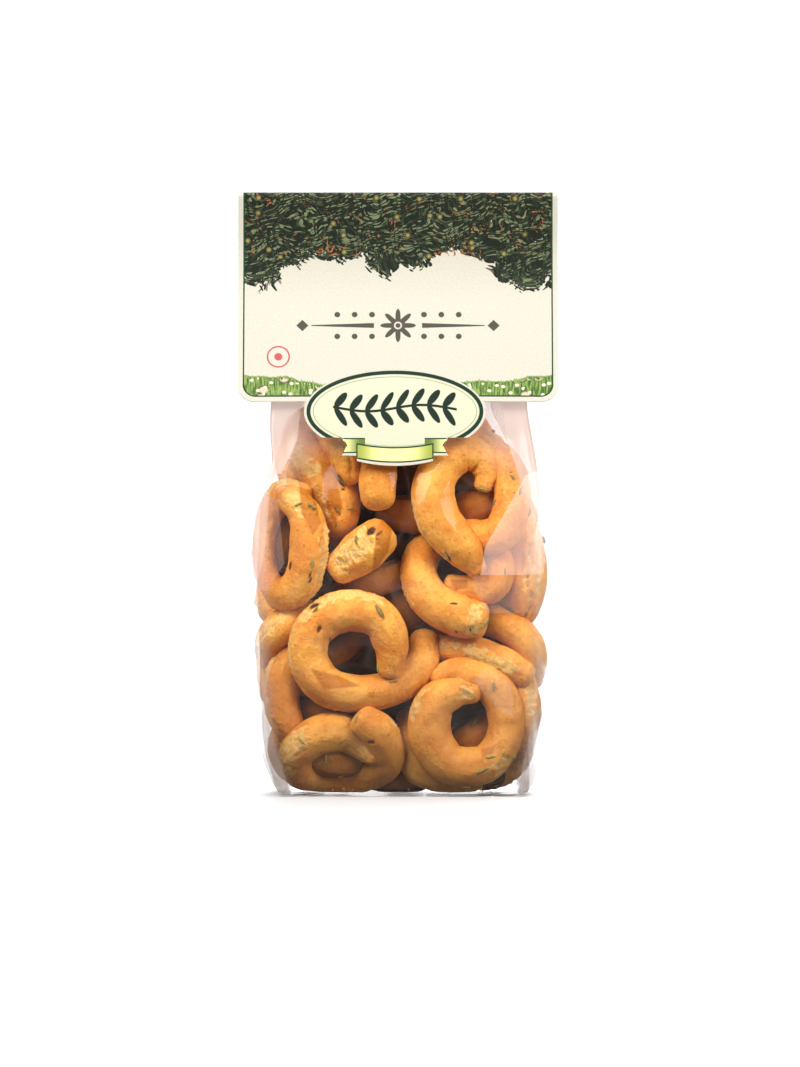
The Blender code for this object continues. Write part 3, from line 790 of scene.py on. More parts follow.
# The film
# One clear crackly film, welded up the back and folded square under the taralli. It stands tight on them in
# flat facets with sharp creases between, folds inwards at both shoulders, and goes flat at the neck.
PRESS, CLEAR = 0.005, 0.0003  # how far out the film looks for a tarallo, and what it keeps to it
TAUT = 70  # rounds of drawing it taut
TAUT_TOP = (0.118, 0.012)  # the front and back are taut up to here, and then less over this much height
FACETS = 150  # places where the film pulls flat
FACET_RISE, FACET_TOP = 2.4, 0.0006  # how their edges stand out: per metre of radius squared, and at most
SMALL_FACETS = 700  # smaller ones in between
SMALL_RISE, SMALL_TOP = 2.5, 0.00012
CREASE_SHARE, CREASE_VEIL = 0.7, 0.10  # how much of the creases' height shows, and their veil for each mm
CALM_FROM, CALM_TO = 0.150, 0.174  # the creases fade out between these heights, under the card
CALM_FOOT = 0.004  # and below this one, at the base
VEIL = 0.004  # share of milky light in plain film
EDGE_WIDE, EDGE_VEIL = 0.0008, 0.03  # how wide the edge of a facet catches the light, and how much
SHOULDER, SHOULDER_RISE, SHOULDER_VEIL = 0.119, 0.018, 0.30  # folds there: from this height, over this much
ASIDE, ASIDE_RUN, ASIDE_DROP = 0.026, 0.010, 0.007  # they start this much lower further out than this
RIM_ROW = 0.004  # the bag's outline is taken in rows this high
RIM_IN, RIM_SOFT = 0.009, 0.006  # the film is milkier this near its outline, and it comes on over this width
RIM_VEIL, RIM_LOW = (0.30, 0.18), (0.020, 0.065)  # how much, and the more of it down low, between heights
WALL_CLEARER = 0.7  # how much less of that the side walls have, which are seen flat on from the side
FRONT_FILM, BACK_OF_FRONT = -0.019, -0.013  # the front's share of light comes on between these depths
WEDGE_DEPTH, WEDGE_LEAN = 0.026, 0.8  # the folds of the base rise inwards from this depth, by this slope
MILKIEST = 0.62  # the most milky light anywhere
# Facets of film that catch the light: corners (across, up) in mm, and the share of milky light there
GLARE = [
    ([(31, 90), (32.4, 99), (41, 114), (58, 120), (58, 79.5), (25, 79.5)], 0.30),
    ([(25, 79.5), (58, 79.5), (58, 66), (29, 66), (27.5, 74)], 0.11),
    ([(-60, 112), (-42.8, 107), (-40.5, 84), (-46, 74), (-60, 74)], 0.12),
    ([(-60, 77.5), (-20, 77.5), (-13, 79.3), (-2, 79), (12, 74.5), (60, 60), (60, -2), (-60, -2)], 0.009),
    ([(22, 38), (32, 47), (41, 41), (42, 24), (36, 31)], 0.13),
]
# Where the front lies double at the shoulders and along the sides
DOUBLED = [
    ([(-50, 142), (-34.5, 142), (-36, 128), (-41.5, 116), (-57, 112)], 0.42),
    ([(-57, 116), (-41.5, 116), (-45, 100), (-48, 80), (-49.5, 60), (-60, 60)], 0.24),
    ([(37, 142), (50, 142), (60, 116), (44, 112), (39, 128)], 0.42),
    ([(44, 113), (60, 113), (60, 50), (52.5, 50), (51, 90)], 0.24),
]
# The corners fold in towards the base, at the front and back alike: the film lies double there
FOLDED = [
    ([(-60, 34), (-47.5, 30), (-38, 1), (-60, -2)], 0.24),
    ([(-60, 52), (-48.5, 50), (-46, 30), (-60, 16)], 0.16),
    ([(-60, 16), (-44, 16), (-38, 1), (-60, -2)], 0.14),
    ([(47, 22), (60, 34), (60, -2), (42, -2)], 0.32),
    ([(49, 36), (60, 50), (60, 22), (47, 22)], 0.24),
]
# The creases that show most in the photo: two ends (across, deep, up), width and height, mm
CREASES = [
    ((-49, -27, 46), (-48.5, -27, 128), 2.2, 0.7),
    ((-44, -20, 141), (-40, -27, 112), 2.4, 0.9),
    ((-34, -19, 141), (-42, -29, 100), 2.6, 0.8),
    ((44, -18, 141), (50, -26, 112), 2.4, 0.9),
    ((34, -19, 141), (46, -27, 108), 3.0, 1.0),
    ((43, -26, 80), (40, -27, 70), 2.2, 0.9),
    ((40, -27, 70), (42, -27, 52), 2.2, 0.9),
    ((42, -27, 52), (43.5, -27, 33), 2.2, 0.9),
    ((44, -28, 29), (51, -24, 40), 2.0, 0.7),
    ((46, -27, 21), (52, -22, 33), 2.0, 0.7),
    ((42, -28, 17), (47, -26, 3), 2.4, 0.9),
    ((-50, -26, 28), (-47, -28, 16), 2.2, 0.8),
    ((-6, -30, 77), (26, -30, 76.5), 2.0, 0.5),
    ((52, -22, 106), (31, -30, 92), 2.2, 0.7),
    ((-36, -30, 122), (-38, -30, 60), 2.6, 0.5),
    ((-43, -24, 108), (-43, -26, 84), 1.6, 0.5),
]


def facets(points, count, rise, rng):
    """Height over each point of a skin drawn into flat cells with sharp edges, and how near an edge is."""
    sites = KDTree(count)
    for number, chosen in enumerate(rng.integers(0, len(points), count)):
        sites.insert(points[chosen], number)
    sites.balance()
    away = np.array([[found[2] for found in sites.find_n(point, 2)] for point in points])
    return rise * away[:, 0] ** 2, away[:, 1] - away[:, 0]


def crease(points, start, end, width, height):
    """Height over each point of a skin with a crease from one place to another, lower at both ends."""
    start, end = np.array(start) * MM, np.array(end) * MM
    run = end - start
    t = np.clip((points - start) @ run / (run @ run), 0, 1)
    away = np.linalg.norm(points - start - t[:, None] * run, axis=1) / (width * MM)
    return height * MM * np.exp(-away) * np.sin(np.clip(t, 0.08, 0.92) * math.pi) ** 0.5


def pressed_out(mesh, points, normals):
    """How far the taralli push each point of the film out, with the film drawn taut from one to the next."""
    need = np.zeros(len(points))
    for i, (point, normal) in enumerate(zip(points, normals)):
        start = Vector(point + normal * PRESS)
        for tree in dough_trees:
            hit, _, _, distance = tree.ray_cast(start, -Vector(normal), PRESS * 1.2)
            if hit:
                need[i] = max(need[i], PRESS - distance + CLEAR)
    ends = np.empty(len(mesh.edges) * 2, dtype=np.int32)
    mesh.edges.foreach_get("vertices", ends)
    first, second = ends[::2], ends[1::2]
    share = np.bincount(ends, minlength=len(points))
    panel = (np.abs(normals[:, 1]) > 0.75) * (1 - ease((points[:, 2] - TAUT_TOP[0]) / TAUT_TOP[1]))
    out = need
    for _ in range(TAUT):
        placed = points + normals * out[:, None]
        middle = 0
        for here, there in ((first, second), (second, first)):
            middle = middle + np.array([np.bincount(here, placed[there, k], len(points)) for k in range(3)])
        lift = ((middle.T / share[:, None] - placed) * normals).sum(axis=1)
        out = np.maximum(out + np.maximum(lift, 0) * panel, need)
    return out


def side_edge(points):
    """How far the bag reaches to a point's own side, left or right, at the point's height."""
    rows = (points[:, 2] / RIM_ROW).astype(int)
    right = (points[:, 0] > 0).astype(int)
    reach = np.zeros((2, rows.max() + 1))
    np.maximum.at(reach, (right, rows), np.abs(points[:, 0]))
    heights = (np.arange(rows.max() + 1) + 0.5) * RIM_ROW
    left_edge, right_edge = (np.interp(points[:, 2], heights, side) for side in reach)
    return np.where(right, right_edge, left_edge)


def film_shape():
    """The bag's solid with its triangles paired, and its sharp edges marked to stay sharp."""
    shape = bmesh.new()
    shape.from_mesh(bag_solid.data)
    bmesh.ops.remove_doubles(shape, verts=shape.verts, dist=1e-6)
    bmesh.ops.join_triangles(shape, faces=shape.faces, angle_face_threshold=math.radians(20),
                             angle_shape_threshold=math.radians(40))
    sharp = shape.edges.layers.float.new("crease_edge")
    for edge in shape.edges:
        edge[sharp] = 1.0 if edge.calc_face_angle(0) > math.radians(34) else 0.0
    return shape


def fine_mesh(shape, levels):
    """Evaluates a Subdivision Surface on a bmesh, and gives the fine mesh."""
    mesh = bpy.data.meshes.new("film")
    shape.to_mesh(mesh)
    shape.free()
    draft = bpy.data.objects.new("film_draft", mesh)
    bpy.context.scene.collection.objects.link(draft)
    finer = draft.modifiers.new("finer", "SUBSURF")
    finer.levels = finer.render_levels = levels
    made = bpy.data.meshes.new_from_object(draft.evaluated_get(bpy.context.evaluated_depsgraph_get()))
    bpy.data.objects.remove(draft)
    return made


def rows_of(items, field):
    """The three numbers that each item of a mesh has in a field, a row each."""
    flat = np.empty(len(items) * 3)
    items.foreach_get(field, flat)
    return flat.reshape(-1, 3)


def milky(x, z, patches):
    """The share of milky light that some facets of film add up to."""
    shares = [facet(x, z, corners) * share for corners, share in patches]
    return sum(shares[1:], shares[0])


def clear_film():
    """See-through, with a glossy skin and a faint milky veil that is denser in folded film and glows as
    painted light.
    """
    # The veil's emission is painted light: the film glows, though it is no lamp
    finish = Finish("clear_film", {"Roughness": 0.35, "IOR": 1.5, "Emission Strength": 0.8})
    place = finish.place()
    x, y, z = finish.axes(place)
    front = y.step(BACK_OF_FRONT, FRONT_FILM)
    glare = milky(x, z, GLARE) * front
    slanted = z + (WEDGE_DEPTH - abs(y)) * WEDGE_LEAN
    veil = finish.own("veil") + VEIL + milky(x, z, DOUBLED) * front + glare + milky(x, slanted, FOLDED)
    # Low down the veil is painted greyer and glows less: painted shade
    low = z.step(0.075, 0.010)
    finish.set("Base Color", finish.mix(low, paint(166, 144, 136), paint(128, 114, 108)))
    # Its glow turns pink-white in the facets that catch the light: painted glare
    glow = finish.mix(low, paint(178, 159, 150), paint(88, 77, 71))
    finish.set("Emission Color", finish.mix((glare * 3.2).low(1.0), glow, paint(255, 228, 216)))
    facing = finish.node("LayerWeight", {"Blend": 0.5}, out=1)
    squared = facing * facing
    reflected = 0.014 + squared * squared * facing * 0.8
    finish.bump(finish.grain(place, 240.0, 3.0, 0.6), 0.0002, 0.5)
    clear = finish.node("BsdfTransparent", {"Color": (0.985, 0.98, 0.975, 1.0)})
    gloss = finish.node("BsdfGlossy", {"Color": (1.0, 1.0, 1.0, 1.0), "Roughness": 0.07})
    links = finish.tree.links
    links.new(finish.shader.inputs["Normal"].links[0].from_socket, gloss.socket.node.inputs["Normal"])
    shine = finish.node("MixShader", {0: reflected, 1: clear, 2: gloss})
    milk = Value(finish.tree, finish.shader.outputs[0])
    final = finish.node("MixShader", {0: veil.low(MILKIEST).high(0.0), 1: shine, 2: milk})
    links.new(final.socket, finish.tree.nodes["Material Output"].inputs["Surface"])
    return finish.material


film_mesh = fine_mesh(film_shape(), 2)
points, normals = rows_of(film_mesh.vertices, "co"), rows_of(film_mesh.vertex_normals, "vector")
rng = np.random.default_rng(21)
calm = 1 - ease((points[:, 2] - CALM_FROM) / (CALM_TO - CALM_FROM))
calm *= ease(points[:, 2] / CALM_FOOT)
wide, wide_edge = facets(points, FACETS, FACET_RISE, rng)
small, _ = facets(points, SMALL_FACETS, SMALL_RISE, rng)
folds = sum(crease(points, *line) for line in CREASES)
relief = (np.minimum(wide, FACET_TOP) + np.minimum(small, SMALL_TOP) + folds * CREASE_SHARE) * calm
out = relief + pressed_out(film_mesh, points, normals)
points += normals * out[:, None]
points[:, 2] = np.maximum(points[:, 2], 0)
film_mesh.vertices.foreach_set("co", points.ravel())
across, height = np.abs(points[:, 0]), points[:, 2]
aside = ease((across - ASIDE) / ASIDE_RUN)
shoulder = ease((height - SHOULDER + aside * ASIDE_DROP) / SHOULDER_RISE) * SHOULDER_VEIL
low_share = 1 - ease((height - RIM_LOW[0]) / (RIM_LOW[1] - RIM_LOW[0]))
side = ease((across - side_edge(points) + RIM_IN) / RIM_SOFT) * (RIM_VEIL[0] + RIM_VEIL[1] * low_share)
side *= 1 - WALL_CLEARER * ease((np.abs(normals[:, 0]) - 0.7) / 0.25)
edge_line = np.exp(-(wide_edge / EDGE_WIDE) ** 2) * EDGE_VEIL
veil = film_mesh.attributes.new("veil", "FLOAT", "POINT")
veil.data.foreach_set("value", (np.maximum(shoulder, side) + edge_line + folds / MM * CREASE_VEIL) * calm)
film_mesh.materials.clear()
film_mesh.materials.append(clear_film())
film_mesh.shade_smooth()
film = bpy.data.objects.new("film", film_mesh)
bpy.context.scene.collection.objects.link(film)
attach(film, "root")
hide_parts("bag")


# The back seam
# The film is a tube. Its two edges are welded together up the middle of the back, inside to inside, into a
# fin with a fine crimp across it, which lies folded flat to one side.
SEAM_AT, SEAM_WIDE = 4.5, 9.0  # its middle across the back, and its width, mm
SEAM_FROM, SEAM_TO = 1.5, 188.0  # heights, mm
SEAM_LIFT = 0.2  # of its fold off the film, and a little more at its free edge, mm
SEAM_STEPS, SEAM_CRIMPS = 8, 240  # faces across it and up it
SEAM_VEIL, CRIMP_VEIL, SEAM_EDGE_VEIL = 0.10, 0.16, 0.12  # milky light: all over it, in crimps and at edges

seam_shape = bmesh.new()
bmesh.ops.create_grid(seam_shape, x_segments=SEAM_STEPS, y_segments=SEAM_CRIMPS, size=0.5)
seam_veil = seam_shape.verts.layers.float.new("veil")
film_tree = BVHTree.FromObject(film, bpy.context.evaluated_depsgraph_get())
for vert in seam_shape.verts:
    share, row = vert.co.x + 0.5, round((vert.co.y + 0.5) * SEAM_CRIMPS)
    up = SEAM_FROM + (SEAM_TO - SEAM_FROM) * row / SEAM_CRIMPS
    across = SEAM_AT + vert.co.x * SEAM_WIDE + 0.5 * math.sin(up / 31)
    hit = film_tree.ray_cast(Vector((across, 60, up)) * MM, Vector((0, -1, 0)))[0]
    loose = SEAM_LIFT + share**2 * (0.35 + 0.25 * math.sin(up / 9) + 0.2 * math.sin(up / 5.3))
    crimped, at_edge = 0.2 < share < 0.85 and row % 2, share in (0.0, 1.0)
    vert[seam_veil] = SEAM_VEIL + (CRIMP_VEIL if crimped else 0.0) + (SEAM_EDGE_VEIL if at_edge else 0.0)
    vert.co = hit + Vector((0, loose * MM, 0))
bmesh.ops.solidify(seam_shape, geom=seam_shape.faces[:], thickness=0.00006)
bmesh.ops.recalc_face_normals(seam_shape, faces=seam_shape.faces)
seam = new_piece("back_seam", seam_shape, film_mesh.materials[0])
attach(seam, "root")
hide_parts("bag")


# The header card
# One sheet of board, die-cut, printed on one side and creased once. It straddles the film's neck, and its two
# panels lean out over the shoulders. The front one carries an oval lobe with a ribbon across its lower edge.
CARD_WIDE, CARD_TALL = 57.6, 79.2  # half the width, and from the fold to each panel's lower edge, mm
CARD_CORNER, BOARD, FOLD_RADIUS = 6.4, 0.5, 1.5  # its corners, its thickness and its fold
FLAT_RUN, FLARE_END, FLARE = 14.0, 40.0, math.radians(21)  # it leans out more from here to here, up to this
BOW, CURL, CURL_RUN = 0.5, 1.0, 24  # how far the panels bow out, and the lobe curls in over this length
LOBE = Vector((-1.1, 83.0))  # the oval's middle: across, and down the board from the fold
LOBE_SIZE = (32.6, 16.6)  # half-sizes of the lobe, and of the oval line in it
OVAL_SIZE = (31.2, 15.1)
TAIL, BAND, NOTCH = 19.0, 13.6, 1.6  # half the ribbon with its tails, half of its band, and the tails' notch
TAIL_ENDS = (9.9, 16.6)  # the top and foot of the tails, below the lobe's middle
BAND_ENDS = (18.6, 20.4)  # the foot of the band, at its ends and its middle
BOUGH_DEPTH, BOUGH_WAVE = 26.0, 3.5  # the printed bough hangs this far down, a little more or less
BOUGH_BOWS = 5  # half-waves of its lower edge on each side of the middle
RULE_IN, RULE_CORNER = 2.1, 4.4  # the printed rule runs this far inside the edge, with corners this round
DARK_GREEN = (22, 62, 36)


def arc(centre, axes, start, end, steps):
    angles = [math.radians(start + (end - start) * i / steps) for i in range(steps + 1)]
    return [(centre[0] + axes[0] * math.cos(a), centre[1] + axes[1] * math.sin(a)) for a in angles]


def lobe_edge():
    """The die-cut lobe, from the panel's lower edge on the right round to the left."""
    top, foot = TAIL_ENDS
    leaves = math.degrees(math.asin((CARD_TALL - LOBE.y) / LOBE_SIZE[1]))
    meets = math.degrees(math.asin(top / LOBE_SIZE[1]))
    right = arc((0, 0), LOBE_SIZE, leaves, meets, 40)
    right += [(TAIL, top), (TAIL - NOTCH, (top + foot) / 2), (TAIL, foot), (BAND, foot)]
    end, deepest = BAND_ENDS
    right += [(BAND * (1 - i / 16), deepest + (end - deepest) * (1 - i / 16) ** 2) for i in range(17)]
    left = [(-x, y) for x, y in reversed(right[:-1])]
    return [(LOBE.x + x, LOBE.y + y) for x, y in right + left]


def board_run(distance):
    """Where the board's middle is, out and up, and its lean, at a distance down one panel, mm."""
    turn = FOLD_RADIUS * math.pi / 2
    top = cad_box[1][2] / MM - BOARD / 2 - FOLD_RADIUS
    if distance < turn:
        angle = distance / FOLD_RADIUS
        return FOLD_RADIUS * math.sin(angle), top + FOLD_RADIUS * math.cos(angle), math.pi / 2 - angle
    lengths = np.linspace(turn, distance, 120)
    leans = FLARE * np.clip((lengths - FLAT_RUN) / (FLARE_END - FLAT_RUN), 0, 1)
    out = FOLD_RADIUS + np.trapz(np.sin(leans), lengths)
    return out, top - np.trapz(np.cos(leans), lengths), leans[-1]


def bend(across, down, raised):
    """A point of the folded card: the panels bow a little between their sides, and the lobe curls in."""
    out, up, lean = board_run(abs(down))
    bow = BOW * (1 - (across / CARD_WIDE) ** 2) * min(abs(down) / CARD_TALL, 1) ** 2
    bow -= CURL * max(down - CARD_TALL, 0) ** 2 / CURL_RUN**2
    reach = raised + bow
    side = -1 if down >= 0 else 1
    return Vector((across, side * (out + reach * math.cos(lean)), up + reach * math.sin(lean))) * MM


def folded_card():
    """The flat sheet with its lobe, cut into strips so that it bends, as thick as board, and folded."""
    corner = (CARD_CORNER, CARD_CORNER)
    side, low = CARD_WIDE - CARD_CORNER, CARD_TALL - CARD_CORNER
    outline = arc((side, low), corner, 0, 90, 14) + lobe_edge() + arc((-side, low), corner, 90, 180, 14)
    outline += arc((-side, -low), corner, 180, 270, 14) + arc((side, -low), corner, 270, 360, 14)
    shape = bmesh.new()
    shape.faces.new([shape.verts.new((x, y, 0)) for x, y in outline])
    turn = FOLD_RADIUS * math.pi / 2
    downs = [turn * i / 8 for i in range(9)] + [4.0 + 2.5 * i for i in range(40)]
    lines = [((0, sign * down, 0), (0, 1, 0)) for down in downs for sign in (1, -1)]
    lines += [((-54 + 6 * i, 0, 0), (1, 0, 0)) for i in range(19)]
    for point, across in lines:
        everything = shape.verts[:] + shape.edges[:] + shape.faces[:]
        bmesh.ops.bisect_plane(shape, geom=everything, dist=1e-4, plane_co=point, plane_no=across)
    uv_layer = shape.loops.layers.uv.new("board")
    printed = shape.verts.layers.float.new("printed")
    for face in shape.faces:
        for loop in face.loops:
            loop[uv_layer].uv = loop.vert.co.xy * MM
    inner = shape.faces[:]
    lifted = bmesh.ops.extrude_face_region(shape, geom=inner)["geom"]
    outer = {v for v in lifted if isinstance(v, bmesh.types.BMVert)}
    for vert in shape.verts:
        vert[printed] = 1.0 if vert in outer else 0.0
        vert.co = bend(vert.co.x, vert.co.y, BOARD / 2 if vert in outer else -BOARD / 2)
    bmesh.ops.recalc_face_normals(shape, faces=shape.faces)
    if shape.calc_volume(signed=True) < 0:
        bmesh.ops.reverse_faces(shape, faces=shape.faces)
    return shape


class Print(Finish):
    """Flat inks on speckled cream board, one over the other, placed by mm across the board and down it."""

    def __init__(self, name, fixed):
        super().__init__(name, fixed)
        self.board = self.node("TexCoord", out=2)
        self.x, self.y = (axis * 1000.0 for axis in self.axes(self.board)[:2])
        self.down = abs(self.y)
        self.speck = self.grain(self.board, 2400.0, 2.0)
        tint = self.grain(self.board, 1100.0, 1.0)
        cream = self.mix(self.speck.step(0.50, 0.66) * 0.5, paint(196, 191, 178), paint(166, 168, 134))
        self.paper = self.ink = self.mix(tint.step(0.60, 0.70) * 0.3, cream, paint(206, 190, 156))

    def over(self, mask, colour):
        self.ink = self.mix(mask, self.ink, colour)

    def cells(self, where, scale, randomness=1.0):
        """The nearest cell of a pattern: how far off its middle is, a chance of its own, and that middle."""
        sockets = {"Vector": where, "Scale": scale, "Randomness": randomness}
        away = self.node("TexVoronoi", sockets, voronoi_dimensions="2D")
        _, colour, middle, *_ = (Value(self.tree, socket) for socket in away.socket.node.outputs)
        return away, self.node("SeparateColor", {"Color": colour}), middle

    def turned(self, where, angle):
        return self.node("VectorRotate", {"Vector": where, "Angle": angle}, rotation_type="Z_AXIS")


def meadow(sheet):
    """Short blades along the lower edges, with stones and small pale flowers."""
    blades = sheet.grain(sheet.stretch(sheet.board, (1500, 260, 1)), 1.0, 3.0)
    tufts = sheet.grain(sheet.stretch(sheet.board, (60, 0, 1)), 1.0, 4.0)
    ground = sheet.down + ((abs(sheet.x) - 22.0) * 0.12 + tufts * 7.0 + blades * 2.6)
    green = sheet.mix(blades.step(0.35, 0.65), paint(52, 84, 34), paint(132, 156, 82))
    sheet.over(ground.step(77.2, 77.8), green)
    for size, share, rim, core in ((150.0, 0.45, paint(70, 62, 46), paint(196, 184, 158)),
                                   (420.0, 0.30, paint(190, 176, 120), paint(230, 228, 214))):
        away, chance, _ = sheet.cells(sheet.stretch(sheet.board, (1.0, 1.3, 1)), size)
        there = chance.step(1 - share, 1.02 - share) * ground.step(78.4, 79.0)
        sheet.over(away.step(0.36, 0.32) * there, sheet.mix(away.step(0.16, 0.32), core, rim))


def bough(sheet):
    """Leaves along the fold in layers, each turned and swayed, with twigs between. A leaf is never cut."""
    dark, mid, pale = paint(20, 26, 18), paint(48, 58, 38), paint(112, 122, 88)
    sway = sheet.node("TexNoise", {"Vector": sheet.board, "Scale": 75.0, "Detail": 1.5}, out=1)
    sway = sheet.stretch(sway, (0.013, 0.013, 0.0))
    swayed = sheet.node("VectorMath", {0: sheet.board, 1: sway}, operation="ADD")
    for turned, length, width, low, colour, other, twigs in (
        (0.5, 3.4, 2.4, 2.0, dark, dark, 0), (-0.7, 2.6, 0.9, 0.0, dark, mid, 0),
        (0.9, 2.3, 0.75, 0.5, dark, mid, 80.0), (-0.2, 2.4, 0.7, 1.4, dark, pale, 0),
        (1.5, 2.2, 0.65, 2.4, mid, dark, 118.0), (-1.2, 2.3, 0.65, 3.6, dark, mid, 0),
        (0.2, 1.9, 0.55, 5.0, dark, pale, 0),
    ):
        across_leaves = sheet.stretch(sheet.turned(swayed, turned), (1000 / length, 1000 / width, 1))
        away, chance, middle = sheet.cells(across_leaves, 1.0, 0.9)
        middle = sheet.turned(sheet.stretch(middle, (length / 1000, width / 1000, 1)), -turned)
        leaf_x, leaf_y = (axis * 1000.0 - 6.5 for axis in sheet.axes(middle)[:2])
        ragged = sheet.grain(middle, 110.0, 4.0, 0.7)
        bows = (leaf_x * (math.pi * BOUGH_BOWS / 2 / CARD_WIDE)).math("COSINE") * BOUGH_WAVE
        depth = BOUGH_DEPTH + bows + (leaf_x / 20.0) ** 2.0 + (ragged - 0.5) * 26.0
        inside = (depth - abs(leaf_y) - low).step(0.0, 0.3) * away.step(0.50, 0.44)
        sheet.over(inside, sheet.mix(chance.step(0.55, 0.95), colour, other))
        if twigs:
            bark = sheet.mix(sheet.speck.step(0.4, 0.6), paint(112, 58, 30), paint(176, 112, 70))
            among = (BOUGH_DEPTH - 2.0 - sheet.down).step(0.0, 1.0)
            lines = (sheet.grain(sheet.board, twigs, 1.5) - 0.5).within(0.013, 0.005)
            sheet.over(lines * among, bark)


def berries(sheet):
    """Small round fruit among the leaves."""
    away, chance, _ = sheet.cells(sheet.board, 260.0)
    among = (BOUGH_DEPTH - 1.0 - sheet.down).step(0.0, 1.0) * chance.step(0.88, 0.89)
    fruit = sheet.mix(away.step(0.0, 0.28), paint(158, 144, 86), paint(70, 66, 32))
    sheet.over(away.step(0.30, 0.26) * among, fruit)


def border(sheet):
    """A thin rule round both panels, open at the fold, with bare board outside it."""
    inset = RULE_IN + RULE_CORNER
    beyond_x, beyond_y = abs(sheet.x) - (CARD_WIDE - inset), sheet.down - (CARD_TALL - inset)
    corner_x, corner_y = beyond_x.high(0.0), beyond_y.high(0.0)
    corner = (corner_x * corner_x + corner_y * corner_y) ** 0.5
    rule = corner + beyond_x.high(beyond_y).low(0.0) - RULE_CORNER
    sheet.over(rule.step(-0.02, 0.05), sheet.paper)
    sheet.over(rule.within(0.32), paint(*DARK_GREEN))


def ornament(sheet):
    """A rosette between long tapered rules and dots in the open middle, and a small red ring beside it."""
    x, y = sheet.x, sheet.down - 50.0
    out = (x * x + y * y) ** 0.5
    petals = 4.6 + (y.math("ARCTAN2", x) * 8.0).math("COSINE") * 1.9
    rosette = (petals - out).step(0.0, 0.2) * out.step(1.3, 1.6) + out.step(1.0, 0.8)
    taper = 1.3 - abs(x) * 0.034
    rules = (taper - abs(y)).step(0.0, 0.1) * (abs(x) - 8.6).step(0.0, 0.1) * x.within(31.4, 0.4)
    dots = sheet.ellipse((abs(x) * 0.16).math("FRACT") * 6.25 - 3.1, abs(y) - 4.2, 1.0, 1.0).step(0.1, 0.0)
    dots = dots * (abs(x) - 8.1).step(0.0, 0.1) * x.within(25.0)
    lozenge = (abs(abs(x) - 34.4) + abs(y)).step(2.3, 2.1)
    sheet.over((rosette + rules + dots + lozenge).low(1.0), paint(74, 70, 62))
    red_ring = sheet.ellipse(x + 43.0, sheet.down - 62.0, 3.9, 3.9)
    sheet.over(red_ring.within(0.34) + red_ring.step(-2.4, -2.5), paint(176, 84, 84))


def oval_and_sprig(sheet):
    """On the front's lobe: an oval field in a double ring, with a sprig of pointed leaves across it."""
    x, y = sheet.x - LOBE.x, sheet.y - LOBE.y
    oval = sheet.ellipse(x, y, *OVAL_SIZE)
    field = sheet.mix(sheet.speck.step(0.46, 0.58), sheet.paper, paint(196, 202, 160))
    sheet.over(oval.step(1.2, 1.0), sheet.mix(oval.step(0.0, -0.5), sheet.paper, field))
    sheet.over((oval + 0.2).within(0.78, 0.12), paint(22, 44, 28))
    sheet.over((oval + 1.9).within(0.16, 0.08), paint(120, 140, 92))
    off_stem = y + 1.2 + (x * 0.16).math("SINE") * 1.2
    along = (x * 0.18).math("FRACT") / 0.18 - 1.6
    leaf_u = along * 0.56 + abs(off_stem) * 0.83 - 3.3
    leaf_v = along * 0.83 - abs(off_stem) * 0.56 + 0.8
    sprig = sheet.ellipse(leaf_u, leaf_v, 3.7, 1.25).step(0.12, -0.05) + off_stem.within(0.55, 0.13)
    sheet.over(sprig.low(1.0) * x.within(22.3, 0.2), paint(20, 36, 26))


def ribbon(sheet):
    """A plain ribbon at the lobe's foot: a shaded, outlined band in front of two notched tails."""
    x, y = sheet.x - LOBE.x, sheet.y - LOBE.y
    olive, light_olive, outline = paint(150, 158, 66), paint(226, 226, 150), paint(*DARK_GREEN)
    off_band = y - 14.9 - (1.0 - (x / BAND) ** 2.0) * 1.5
    off_tail = y - 12.9
    notch = abs(x) + (2.6 - abs(off_tail)) * 0.6
    beside = notch.step(TAIL - 0.4, TAIL - 0.5) * abs(x).step(BAND - 3.0, BAND - 2.9)
    tail_ink = sheet.mix(abs(x).step(BAND - 1.5, TAIL), paint(96, 110, 50), light_olive)
    sheet.over(off_tail.within(2.7) * beside, tail_ink)
    sheet.over((abs(off_tail) - 2.6).within(0.3) * beside, outline)
    long, tall = x.within(BAND + 0.1), off_band.within(2.8)
    sheet.over(long * tall, sheet.mix(abs(x).step(4.0, BAND), light_olive, olive))
    edges = (abs(off_band) - 2.65).within(0.34) * long + (abs(x) - BAND).within(0.3) * tall
    sheet.over(edges.low(1.0), outline)


def printed_board():
    """Smooth matt board, printed on its outer side with flat inks."""
    sheet = Print("printed_board", {"Roughness": 0.6, "Specular IOR Level": 0.14})
    for motif in (meadow, bough, berries, border, ornament, oval_and_sprig, ribbon):
        motif(sheet)
    outside = sheet.own("printed").step(0.9, 0.98)
    sheet.set("Base Color", sheet.mix(outside, paint(240, 238, 230), sheet.ink))
    sheet.bump(sheet.grain(sheet.board, 900.0, 3.0), 0.00006)
    return sheet.material


card = new_piece("card", folded_card(), printed_board())
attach(card, "root")
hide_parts("header_card")


# Studio
# A plain pale floor that turns up to white far behind, and soft white lights from both sides of the front,
# from above and from behind. The camera looks at the pack almost level.
PIXEL = 0.36 * MM  # the photo's scale at the pack
IMAGE = (800, 1067)
PACK_MIDDLE, PACK_BASE = 398, 795  # the photo's pixel column and row of the pack's middle and base
DISTANCE = 3.2  # from the camera to the pack
RISE = math.radians(1.5)  # how far it looks down

FLOOR_REACH, RIM_CURVE, RIM_TOP = 4.2, 0.7, 2.4  # a round floor that turns up beyond the camera
WHITE_FROM, WHITE_TO = -0.4, 0.7  # the floor and its rim get bright towards the back between these, m

